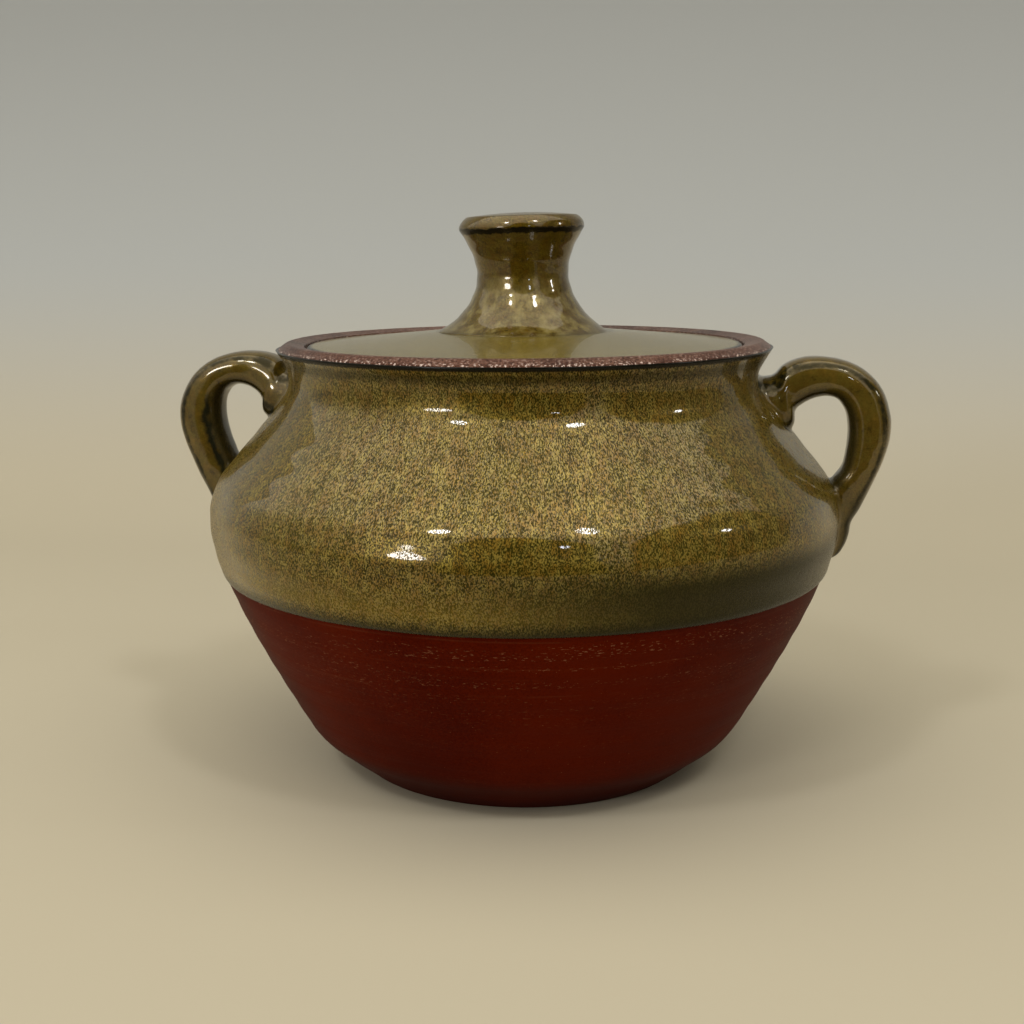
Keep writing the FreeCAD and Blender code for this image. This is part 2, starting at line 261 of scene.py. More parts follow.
def closed_piece(tree, grid, position, kept, material):
    """Ends a tree: places the grid's points, closes seam and poles, and gives it its finish."""
    mesh = result_of(tree, "GeometryNodeSetPosition", {"Geometry": grid, "Position": position})
    for name, value in kept:
        inputs = {"Geometry": mesh, "Name": name, "Value": value}
        mesh = result_of(tree, "GeometryNodeStoreNamedAttribute", inputs, data_type="FLOAT")
    joined = {"Geometry": mesh, "Distance": SEAM}
    mesh = result_of(tree, "GeometryNodeMergeByDistance", joined)
    mesh = result_of(tree, "GeometryNodeSetShadeSmooth", {"Geometry": mesh})
    mesh = result_of(tree, "GeometryNodeRealizeInstances", {"Geometry": mesh})
    return result_of(tree, "GeometryNodeSetMaterial", {"Geometry": mesh, "Material": material})


def build_wheel():
    """The tree that turns an outline round the axis, with the marks that throwing leaves.

    Every piece keeps two numbers on its points for its finish: `level` and `reach`, its
    height and radius before the clay leaned or the glaze ran.
    """
    tree, given, result = new_tree(
        "Turned On The Wheel",
        "GeometryNodeTree",
        [
            ("Outline", "Geometry"), ("Turns", "Int"), "Ring Depth", "Ring Pitch", "Line Depth",
            "Line Pitch", "Wobble", "Edge Wave", "Edge Tilt", "Edge Swell", "Lean", "Lean From",
            "Lean To", "Sway", "Press Depth", "Press Level", "Seed", ("Material", "Material"),
        ],
        [("Piece", "Geometry")],
    )
    outline = given["Outline"]
    counted = put(tree, "GeometryNodeAttributeDomainSize", {"Geometry": outline})
    rows = counted.outputs["Point Count"]
    grid, row, angle = grid_of_turns(tree, outline, rows, given["Turns"])
    place = result_of(tree, "GeometryNodeInputPosition")
    spot = at_row(tree, outline, row, place, "FLOAT_VECTOR")
    marks = at_row(tree, outline, row, named(tree, "marks"))
    edge = at_row(tree, outline, row, named(tree, "edge"))
    parts = put(tree, "ShaderNodeSeparateXYZ", {0: spot}).outputs
    reach, level = parts["X"], parts["Z"]
    cosine = calc(tree, "COSINE", angle)
    sine = calc(tree, "SINE", angle)

    def around(spread, stretched_level):
        """A place for noise that closes on itself round the pot."""
        x = scaled(tree, cosine, spread, given["Seed"])
        y = times(tree, sine, spread)
        return result_of(tree, "ShaderNodeCombineXYZ", {"X": x, "Y": y, "Z": stretched_level})

    def swing(spot, detail=1.0):
        """Noise from about -1 to 1."""
        return scaled(tree, noise(tree, spot, 1.0, detail), 2.0, -1.0)

    ring_turn = calc(tree, "DIVIDE", level, given["Ring Pitch"])
    ring_angle = scaled(tree, ring_turn, 2 * math.pi, angle)
    ring_size = noise(tree, around(0.7, times(tree, ring_turn, 0.45)), 1.0)
    ring = times(tree, calc(tree, "SINE", ring_angle), ring_size)
    tool_line = swing(around(0.35, calc(tree, "DIVIDE", level, given["Line Pitch"])), 3.0)
    wobble = swing(around(1.0, times(tree, level, 18.0)))
    offset = times(tree, ring, given["Ring Depth"])
    offset = scaled(tree, tool_line, given["Line Depth"], offset)
    offset = scaled(tree, wobble, given["Wobble"], offset)
    offset = times(tree, offset, marks)

    swell = scaled(tree, cosine, 0.5, swing(around(1.6, 4.0)))
    offset = calc(tree, "ADD", offset, times(tree, swell, given["Edge Swell"], edge))

    beside = calc(tree, "POWER", calc(tree, "DIVIDE", sine, THUMB_WIDTH), 2.0)
    height = calc(tree, "SUBTRACT", level, given["Press Level"])
    height = calc(tree, "POWER", calc(tree, "DIVIDE", height, THUMB_HEIGHT), 2.0)
    dent = calc(tree, "EXPONENT", times(tree, calc(tree, "ADD", beside, height), -1.0))
    dent = times(tree, dent, given["Press Depth"], marks)
    offset = calc(tree, "SUBTRACT", offset, dent)

    offset = times(tree, offset, ramp(tree, reach, 0.0, CALM_MIDDLE))
    radius = calc(tree, "ADD", reach, offset)
    leaning = ramp(tree, level, given["Lean From"], given["Lean To"])
    x = scaled(tree, leaning, given["Sway"], times(tree, radius, cosine))
    y = times(tree, radius, sine)
    wave = times(tree, swing(around(1.3, 9.0), 3.0), given["Edge Wave"])
    wave = scaled(tree, cosine, given["Edge Tilt"], wave)
    z = scaled(tree, wave, edge, level)
    z = scaled(tree, times(tree, x, given["Lean"]), leaning, z)
    position = result_of(tree, "ShaderNodeCombineXYZ", {"X": x, "Y": y, "Z": z})
    kept = [("level", level), ("reach", reach)]
    piece = closed_piece(tree, grid, position, kept, given["Material"])
    tree.links.new(piece, result["Piece"])
    return tree


def grown(name, points, attributes, tree, settings):
    """The plain mesh that a tree grows from a line of points."""
    line = bpy.data.meshes.new(name)
    line.from_pydata(points, [(i, i + 1) for i in range(len(points) - 1)], [])
    for label, values in attributes.items():
        line.attributes.new(label, "FLOAT", "POINT").data.foreach_set("value", values)
    piece = bpy.data.objects.new(name, line)
    bpy.context.scene.collection.objects.link(piece)
    grower = piece.modifiers.new("Maker", "NODES")
    grower.node_group = tree
    for item in tree.interface.items_tree:
        if item.in_out == "INPUT" and item.name in settings:
            grower[item.identifier] = settings[item.name]
    shape = piece.evaluated_get(bpy.context.evaluated_depsgraph_get())
    finished = bpy.data.meshes.new_from_object(shape)
    piece.modifiers.clear()
    piece.data = finished
    bpy.data.meshes.remove(line)
    finished.name = name
    finished.materials.clear()
    finished.materials.append(settings["Material"])
    shell = bmesh.new()
    shell.from_mesh(finished)
    for face in shell.faces:
        face.material_index = 0
    bmesh.ops.recalc_face_normals(shell, faces=shell.faces)
    shell.to_mesh(finished)
    shell.free()
    return piece


def turned(name, outline, material, **settings):
    """A piece thrown on the wheel from its half outline."""
    points = [(radius, 0.0, level) for radius, level, _, _ in outline]
    attributes = {
        "marks": [point[2] for point in outline],
        "edge": [point[3] for point in outline],
    }
    plain = {
        "Turns": 320, "Ring Pitch": 0.008, "Line Pitch": 0.001, "Lean": LEAN,
        "Lean From": LEAN_FROM, "Lean To": LEAN_TO, "Press Level": THUMB_LEVEL,
        "Material": material,
    }
    return grown(name, points, attributes, wheel, plain | settings)


def new_material(name):
    """An empty material with its shader, and the coordinates of the piece it is on."""
    material = bpy.data.materials.new(name)
    material.use_nodes = True
    tree = material.node_tree
    tree.nodes.clear()
    shader = tree.nodes.new("ShaderNodeBsdfPrincipled")
    put(tree, "ShaderNodeOutputMaterial", {"Surface": shader.outputs[0]})
    place = tree.nodes.new("ShaderNodeTexCoord").outputs["Object"]
    return material, tree, shader, place


def mixed(tree, share, first, second):
    """Two colours mixed by a share from 0 to 1."""
    inputs = {0: share, 6: first, 7: second}
    return put(tree, "ShaderNodeMix", inputs, data_type="RGBA").outputs[2]


def stretched(tree, place, scales):
    """A place with each axis scaled, for patterns that run level or along a piece."""
    return vector(tree, "MULTIPLY", place, scales)


def build_turning_lines():
    """Level lines left by the trimming tool: a height, and a mask of the lighter ones."""
    tree, given, result = new_tree(
        "Turning Lines",
        "ShaderNodeTree",
        [("Place", "Vector"), "Pitch"],
        ["Height", "Light Lines"],
    )
    level = put(tree, "ShaderNodeSeparateXYZ", {0: given["Place"]}).outputs["Z"]
    drift = noise(tree, given["Place"], 14.0, 2.0)
    level = scaled(tree, drift, 0.0012, level)
    line = calc(tree, "DIVIDE", level, given["Pitch"])
    level_place = result_of(tree, "ShaderNodeCombineXYZ", {"Z": line})
    height = noise(tree, level_place, 1.0, 4.0, 0.65)
    lines = ramp(tree, noise(tree, level_place, 0.37, 3.0, 0.6), 0.55, 0.75)
    short = stretched(tree, given["Place"], (60.0, 60.0, 300.0))
    breaks = ramp(tree, noise(tree, short, 1.0), 0.42, 0.62)
    fill(tree, result, {"Height": height, "Light Lines": times(tree, lines, breaks)})
    return tree


def build_grog():
    """Coarse grains and flecks of mica in the clay: pale specks, dark pits and a rough height."""
    tree, given, result = new_tree(
        "Grog In The Clay",
        "ShaderNodeTree",
        [("Place", "Vector"), "Grains Per Metre", "Share"],
        ["Pale Specks", "Pits", "Height"],
    )
    inputs = {"Vector": given["Place"], "Scale": given["Grains Per Metre"]}
    cells = put(tree, "ShaderNodeTexVoronoi", inputs)
    chosen = put(tree, "ShaderNodeSeparateColor", {0: cells.outputs["Color"]}).outputs
    speck = calc(tree, "LESS_THAN", chosen[0], given["Share"])
    size = scaled(tree, chosen[2], 0.28, 0.12)
    near = ramp(tree, cells.outputs["Distance"], size, 0.06)
    pale = times(tree, speck, near)
    pit = times(tree, calc(tree, "GREATER_THAN", chosen[1], 0.93), near)
    grain = noise(tree, given["Place"], 2600.0, 3.0, 0.6)
    height = scaled(tree, pale, 0.5, scaled(tree, pit, -1.0, grain))
    fill(tree, result, {"Pale Specks": pale, "Pits": pit, "Height": height})
    return tree


def group(tree, made, inputs):
    """The outputs of one of the shared groups placed in a material."""
    return put(tree, "ShaderNodeGroup", inputs, node_tree=made).outputs


def stored(tree, name):
    """A number kept on the points of the piece that has the material."""
    return put(tree, "ShaderNodeAttribute", attribute_name=name).outputs["Fac"]


def red_stoneware(name, dark, body, pale, roughness, specular):
    """Bare fired clay: red brown, satin, with turning lines, grog and a toasted cloudiness."""
    material, tree, shader, place = new_material(name)
    lines = group(tree, turning_lines, {"Place": place, "Pitch": 0.00065})
    squat = stretched(tree, place, (1.0, 1.0, 1.7))
    grog = group(tree, grog_grains, {"Place": squat, "Grains Per Metre": 1500.0, "Share": 0.022})
    cloud = noise(tree, place, 16.0, 3.0, 0.5)
    grain = noise(tree, place, 1500.0, 3.0, 0.7)
    mottle = ramp(tree, scaled(tree, grain, 0.6, cloud), 0.62, 0.98)
    colour = mixed(tree, mottle, dark, body)
    colour = mixed(tree, times(tree, lines["Light Lines"], 0.16), colour, pale)
    colour = mixed(tree, times(tree, grog["Pale Specks"], 0.75), colour, pale)
    colour = mixed(tree, times(tree, grog["Pits"], 0.6), colour, dark)
    height = scaled(tree, grog["Height"], 0.35, lines["Height"])
    bumps = {"Height": height, "Strength": 0.35, "Distance": 0.00012}
    fill(tree, shader.inputs, {
        "Base Color": colour,
        "Roughness": scaled(tree, lines["Height"], 0.22, roughness - 0.11),
        "Normal": result_of(tree, "ShaderNodeBump", bumps),
        "Specular IOR Level": specular,
        "Specular Tint": body,
    })
    return material, tree, shader, place, colour


wheel = build_wheel()
turning_lines = build_turning_lines()
grog_grains = build_grog()

POT_DARK = (0.048, 0.0028, 0.0001, 1.0)
POT_BODY = (0.086, 0.0066, 0.0002, 1.0)
POT_PALE = (0.260, 0.110, 0.055, 1.0)
POT_FOOT_SHADE = (0.030, 0.0022, 0.0004, 1.0)
RIM_DARK = (0.020, 0.0062, 0.0042, 1.0)
RIM_BODY = (0.098, 0.040, 0.025, 1.0)
RIM_PALE = (0.205, 0.112, 0.080, 1.0)
RIM_PAINTED_GLINT = (0.620, 0.500, 0.440, 1.0)

pot_clay, tree, shader, place, colour = red_stoneware(
    "red_stoneware_pot", POT_DARK, POT_BODY, POT_PALE, roughness=0.55, specular=0.06,
)
level = stored(tree, "level")
dashes = noise(tree, stretched(tree, place, (1.0, 1.0, 5.0)), 620.0, 2.0, 0.6)
rows = noise(tree, stretched(tree, place, (0.02, 0.02, 1.0)), 420.0, 2.0)
dragged = times(tree, ramp(tree, dashes, 0.61, 0.68), ramp(tree, rows, 0.46, 0.56))
dragged = times(tree, dragged, ramp(tree, level, 0.034, 0.060, 0.15, 1.0))
colour = mixed(tree, times(tree, dragged, 0.7), colour, POT_PALE)
# Painted shade: the clay darkens into the foot bevel, a contact shadow where the pot meets the
# table.
painted_foot_shade = ramp(tree, level, BEVEL_LEVEL + 0.004, BEVEL_LEVEL - 0.003)
colour = mixed(tree, times(tree, painted_foot_shade, 0.5), colour, POT_FOOT_SHADE)
tree.links.new(colour, shader.inputs["Base Color"])

rim_clay, tree, shader, place, colour = red_stoneware(
    "red_stoneware_rim", RIM_DARK, RIM_BODY, RIM_PALE, roughness=0.36, specular=0.3,
)
level = stored(tree, "level")
toasted = ramp(tree, noise(tree, place, 120.0, 4.0, 0.65), 0.35, 0.70)
colour = mixed(tree, times(tree, toasted, 0.40), colour, RIM_PALE)
gritty = noise(tree, place, 1400.0, 3.0, 0.6)
colour = mixed(tree, ramp(tree, gritty, 0.50, 0.36, 0.0, 0.85), colour, RIM_DARK)
# Painted highlight: pale glints along the lip's lower corner, and fewer in specks of grit
# elsewhere.
low_corner = ramp(tree, level, LIP_LEVEL + 0.0011, LIP_LEVEL + 0.0003)
painted_glints = scaled(tree, low_corner, 0.80, 0.20)
painted_glints = times(tree, ramp(tree, gritty, 0.55, 0.62), painted_glints)
colour = mixed(tree, painted_glints, colour, RIM_PAINTED_GLINT)
tree.links.new(colour, shader.inputs["Base Color"])

bevel_end = Vector((BEVEL_RADIUS, BEVEL_LEVEL))
bevel_start = Vector((FOOT_RADIUS + FOOT_ROUND, FOOT_ROUND))
bevel_stop = bevel_end + (bevel_start - bevel_end).normalized() * BEVEL_SOFT
wall = outer_runs(0.0, 0.00048)
past_bevel = [point for point in wall if (Vector(point[:2]) - bevel_end).length > BEVEL_SOFT]
outline = drawn(
    (0, FOOT_HOLLOW),
    (0.006, 0.0, (FOOT_RING - FOOT_HOLLOW, FOOT_HOLLOW)),
    (0.0008, 0.0, (FOOT_RING, 0)),
    (0.004, 0.0, (FOOT_RADIUS - FOOT_ROUND, 0)),
    (0.0004, 0.0, (FOOT_RADIUS, 0), bevel_start),
    (0.0005, 1.0, bevel_stop),
    (0.0005, 1.0, bevel_end, past_bevel[0][:2]),
)
outline += [point for point in past_bevel[1:] if point[1] < COVERED]
outline += [point for point in wall[::6] if COVERED + 0.0015 < point[1] < LIP_LEVEL - 0.001]
lip = Vector((LIP_RADIUS, LIP_LEVEL))
crest = Vector((CREST_RADIUS, CREST_LEVEL))
land = Vector((CREST_RADIUS - 0.0009, CREST_LEVEL))
gallery_edge = Vector((GALLERY_RADIUS, GALLERY_TOP))
outline += drawn(
    (LIP_RADIUS - 0.0004, LIP_LEVEL - 0.0010),
    (0.0002, 0.5, lip, lip.lerp(crest, 0.2)),
    (0.0003, 0.5, lip.lerp(crest, 0.8)),
    (0.0002, 0.4, (CREST_RADIUS - 0.0003, CREST_LEVEL + 0.0002), land.lerp(gallery_edge, 0.1)),
    (0.0004, 0.5, land.lerp(gallery_edge, 0.9)),
    (0.0002, 0.3, gallery_edge, (GALLERY_RADIUS, GALLERY_TOP - SPONGED)),
    (0.0008, 0.3, (GALLERY_RADIUS, LEDGE_LEVEL + SPONGED)),
    (0.0003, 0.0, (GALLERY_RADIUS, LEDGE_LEVEL), (GALLERY_RADIUS - SPONGED, LEDGE_LEVEL)),
    (0.0009, 0.3, (THROAT_RADIUS + SPONGED, LEDGE_LEVEL)),
    (0.0002, 0.0, (THROAT_RADIUS, LEDGE_LEVEL), (THROAT_RADIUS, LEDGE_LEVEL - SPONGED)),
)
outline += inner_runs(0.0, 0.0035)[1:]
pot = turned(
    "thrown_pot", outline, pot_clay,
    **{"Turns": 300, "Line Depth": 0.000045, "Line Pitch": 0.0007, "Ring Depth": 0.00012,
       "Wobble": 0.00012, "Press Depth": THUMB_PRESS},
)
pot.data.materials.append(rim_clay)
bare_rim = pot.data.attributes["level"].data
for face in pot.data.polygons:
    if bare_rim[face.vertices[0]].value > LEDGE_LEVEL - 0.004:
        face.material_index = 1
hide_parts("pot_body")
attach(pot, "pot")

# ---------------------------------------------------------------------------------------
# The outer glaze: an olive tea-dust glaze poured over the pot and fired glossy.  Fine
# golden crystals lie in a dark glass; it breaks to near black where it runs thin at an
# edge, and ends low on the belly in a thick rolled line that wanders a little.
# ---------------------------------------------------------------------------------------
GLAZE = 0.0007
GLAZE_LINE = 0.0644
GLAZE_HOLD = 0.00035           # how far the coat's hidden face lies inside the clay
ROLL_RISE = 0.0030             # height of the thick roll at the coat's lower edge
ROLL_SLOPE = 0.45              # how far the wall goes out for each step up, at the roll


def build_crystals():
    """Short crystals strewn through a dark glass.

    Besides their mask and hue it gives the spots of bare glass, slow clouds of colour, the
    glossy specks of the surface, most of them on crystals, and a fine height.
    """
    tree, given, result = new_tree(
        "Tea Dust Crystals",
        "ShaderNodeTree",
        [("Place", "Vector"), "Crystals Per Metre"],
        ["Crystals", "Dark Glass", "Hue", "Cloud", "Sparkle", "Height"],
    )
    count = given["Crystals Per Metre"]
    place = given["Place"]
    warp = put(tree, "ShaderNodeTexNoise", {"Vector": place, "Scale": times(tree, count, 0.45)})
    size = calc(tree, "DIVIDE", 1.9, count)
    shift = vector(tree, "SCALE", warp.outputs["Color"], size)
    bent = vector(tree, "ADD", place, shift)
    clump = noise(tree, place, times(tree, count, 0.09), 4.0, 0.7)
    clump = calc(tree, "SUBTRACT", clump, 0.5)
    strewn = scaled(tree, clump, 0.22, noise(tree, bent, count))
    crystals = ramp(tree, strewn, 0.40, 0.64)
    glass = ramp(tree, noise(tree, bent, times(tree, count, 0.62), 2.0, 0.6), 0.50, 0.68)
    hue = ramp(tree, noise(tree, place, times(tree, count, 0.12), 4.0, 0.75), 0.38, 0.62)
    cloud = noise(tree, stretched(tree, place, (1.0, 1.0, 2.0)), 26.0, 5.0, 0.65)
    cloud = ramp(tree, cloud, 0.3, 0.7)
    fine = noise(tree, bent, times(tree, count, 1.15), 1.0)
    sparkle = scaled(tree, strewn, 0.6, times(tree, fine, 0.4))
    sparkle = ramp(tree, sparkle, 0.46, 0.56)
    ripple = noise(tree, place, 420.0)
    height = scaled(tree, ripple, 0.6, calc(tree, "ADD", fine, strewn))
    fill(tree, result, {
        "Crystals": crystals, "Dark Glass": glass, "Hue": hue, "Cloud": cloud,
        "Sparkle": sparkle, "Height": height,
    })
    return tree


def olive_glaze(
    name, glass, olive, gold, amber,
    crystals=3100.0, roughness=0.24, metal=0.42, smooth=0.0, run_down=False,
):
    """A glossy crystalline glaze, grainy where it is thin and `smooth` up to 1 where thick.

    A grainy coat shines in specks where it's seen straight on, all over at a slant, and
    less again at its outline.  `run_down` draws the crystals out down the wall.  Returns
    what a piece needs to add its own breaks and pools.
    """
    material, tree, shader, place = new_material(name)
    grain_place = place
    if run_down:
        around = vector(tree, "NORMALIZE", stretched(tree, place, (1.0, 1.0, 0.0)))
        around = stretched(tree, around, (0.090, 0.090, 0.0))
        fall = stretched(tree, place, (0.0, 0.0, 0.55))
        grain_place = vector(tree, "ADD", around, fall)
    found = group(tree, tea_dust, {"Place": grain_place, "Crystals Per Metre": crystals})
    ground = mixed(tree, scaled(tree, found["Cloud"], 0.5, 0.25), glass, olive)
    bright = mixed(tree, found["Hue"], amber, gold)
    grainy = 1 - smooth
    covered = (1 - 0.65 * smooth, 0.32 * smooth)
    colour = mixed(tree, scaled(tree, found["Crystals"], *covered), ground, bright)
    bare = times(tree, found["Dark Glass"], 0.38 - 0.3 * smooth)
    colour = mixed(tree, bare, colour, glass)
    gloss = scaled(tree, found["Sparkle"], 0.84 * grainy, 0.04 + 0.78 * smooth)
    slant = put(tree, "ShaderNodeLayerWeight", {"Blend": 0.5}).outputs["Facing"]
    sheer = times(tree, ramp(tree, slant, 0.32, 0.68), ramp(tree, slant, 0.90, 0.68, 0.15, 1.0))
    gloss = calc(tree, "MAXIMUM", gloss, times(tree, sheer, 0.85 * grainy))
    gloss = times(tree, gloss, ramp(tree, slant, 0.95, 0.70, 0.12 + 0.88 * smooth, 1.0))
    bumps = {"Height": found["Height"], "Strength": 0.45 - 0.38 * smooth, "Distance": 0.0001}
    fill(tree, shader.inputs, {
        "Base Color": colour,
        "Roughness": scaled(tree, found["Crystals"], 0.08, roughness),
        "Metallic": times(tree, found["Crystals"], metal),
        "IOR": 1.5,
        "Specular IOR Level": 0.22,
        "Specular Tint": (1.0, 0.78, 0.36, 1.0),
        "Coat Weight": gloss,
        "Coat IOR": 1.6,
        "Coat Roughness": 0.04,
        "Normal": result_of(tree, "ShaderNodeBump", bumps),
    })
    return material, tree, shader, place, colour


def break_and_painted_shade(tree, shader, share, dark, strength=1.0):
    """Darkens a glaze and dulls it where it is thin over an edge or pools thick, and where shade or
    a dark reflection is painted.
    """
    share = times(tree, share, strength)
    left = calc(tree, "SUBTRACT", 1.0, share)
    for name in ("Coat Weight", "Metallic"):
        value = times(tree, shader.inputs[name].links[0].from_socket, left)
        tree.links.new(value, shader.inputs[name])
    colour = mixed(tree, share, shader.inputs["Base Color"].links[0].from_socket, dark)
    tree.links.new(colour, shader.inputs["Base Color"])


tea_dust = build_crystals()

DARK_GLASS = (0.008, 0.0068, 0.0006, 1.0)
OLIVE = (0.042, 0.036, 0.0026, 1.0)
GOLD = (0.272, 0.198, 0.034, 1.0)
AMBER = (0.212, 0.116, 0.0120, 1.0)
BREAK_BLACK = (0.003, 0.003, 0.0025, 1.0)
LINE_GREEN = (0.009, 0.0095, 0.0018, 1.0)
LINE_YELLOW = (0.190, 0.125, 0.008, 1.0)
SHADE_SIDE = (7.6, -6.5, 0.0)  # towards the belly's right front, which is darkened as painted shade
SHADE_TOP = 0.0850

coat_finish, tree, shader, place, colour = olive_glaze(
    "olive_glaze_outside", DARK_GLASS, OLIVE, GOLD, AMBER, run_down=True,
)
level = stored(tree, "level")
low_band = times(
    tree,
    ramp(tree, level, GLAZE_LINE + 0.016, GLAZE_LINE + 0.006),
    ramp(tree, level, GLAZE_LINE + 0.002, GLAZE_LINE + 0.006),
    0.34,
)
colour = mixed(tree, low_band, colour, LINE_YELLOW)
tree.links.new(colour, shader.inputs["Base Color"])
# Painted shade: the lower belly on the right front is darkened and dulled towards LINE_GREEN.
beside = vector(tree, "DOT_PRODUCT", place, SHADE_SIDE)
beside = calc(tree, "ADD", beside, times(tree, noise(tree, place, 45.0, 4.0, 0.6), 0.16))
painted_side_shade = times(
    tree, ramp(tree, beside, 0.62, 1.08), ramp(tree, level, SHADE_TOP, SHADE_TOP - 0.0085),
)
break_and_painted_shade(tree, shader, painted_side_shade, LINE_GREEN, 0.95)
# Painted dark reflection: a band under the lip, where the flare faces down, is darkened and dulled.
painted_reflection_under_lip = times(
    tree,
    ramp(tree, level, LIP_LEVEL - 0.0060, LIP_LEVEL - 0.0040),
    ramp(tree, level, LIP_LEVEL - 0.0016, LIP_LEVEL - 0.0030),
)
break_and_painted_shade(tree, shader, painted_reflection_under_lip, LINE_GREEN, 0.55)
thick_line = ramp(tree, level, GLAZE_LINE + 0.0048, GLAZE_LINE + 0.0004)
break_and_painted_shade(tree, shader, thick_line, LINE_GREEN, 0.85)
thin_lip = ramp(tree, level, LIP_LEVEL - 0.0016, LIP_LEVEL - 0.0010)
break_and_painted_shade(tree, shader, thin_lip, BREAK_BLACK)

thin_glaze, tree, shader, place = new_material("olive_glaze_thin_edge")
colour = mixed(tree, noise(tree, place, 900.0, 2.0), BREAK_BLACK, DARK_GLASS)
fill(tree, shader.inputs, {"Base Color": colour, "Roughness": 0.22, "Specular IOR Level": 0.15})

roll_top = GLAZE_LINE + ROLL_RISE
coat_wall = [point for point in outer_runs(GLAZE, 0.00065) if point[1] > roll_top]
hidden_wall = [point for point in outer_runs(-GLAZE_HOLD, 0.004) if point[1] > roll_top]
first_outer = Vector(coat_wall[0][:2])
first_hidden = Vector(hidden_wall[0][:2])
wall_at_line = first_outer.x - GLAZE - ROLL_RISE * ROLL_SLOPE
line_low = (wall_at_line - GLAZE_HOLD, GLAZE_LINE - 0.0001)
line_roll = [
    line_low,
    (wall_at_line + 0.0010, GLAZE_LINE - 0.0002),
    (wall_at_line + 0.0016, GLAZE_LINE + 0.0013),
    tuple(first_outer),
]
rolled_edge = []
for radius, height, _, _ in run(line_roll, 0.00022):
    rolled_edge.append((radius, height, 1.0, 1.0 - 0.85 * (height - GLAZE_LINE) / ROLL_RISE))
outline = rolled_edge
for radius, height, marks, _ in coat_wall[1:]:
    fade = max(0.0, 0.15 - (height - GLAZE_LINE - ROLL_RISE) / 0.05)
    outline.append((radius, height, marks, fade))
outline += run([coat_wall[-1][:2], (LIP_RADIUS - 0.0006, LIP_LEVEL + 0.0001)], 0.0002)[1:]
outline += hidden_wall[-2::-1]
outline += run([tuple(first_hidden), line_low], 0.001, 1.0, 0.9)[1:]
coat = turned(
    "outer_glaze_coat", outline, coat_finish,
    **{"Ring Depth": 0.00016, "Wobble": 0.00012, "Edge Wave": 0.00045, "Edge Tilt": 0.0005,
       "Edge Swell": 0.00022, "Press Depth": THUMB_PRESS},
)
coat.data.materials.append(thin_glaze)
thin_edge = coat.data.attributes["level"].data
for face in coat.data.polygons:
    if thin_edge[face.vertices[0]].value > LIP_LEVEL - 0.0010:
        face.material_index = 1
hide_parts("outer_glaze")
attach(coat, "pot")

# ---------------------------------------------------------------------------------------
# The handles: each is pulled from one lump of clay, bent into a loop, and luted on under
# the neck and on the belly.  Slip is worked round both joints, so they flare into the
# wall, and the tail is pressed down flat with a thumb.
# ---------------------------------------------------------------------------------------
SKIRT = 0.0018                 # radius of the slip worked into each joint
END_STEP = 0.0004              # each end closes to a point this much nearer the axis


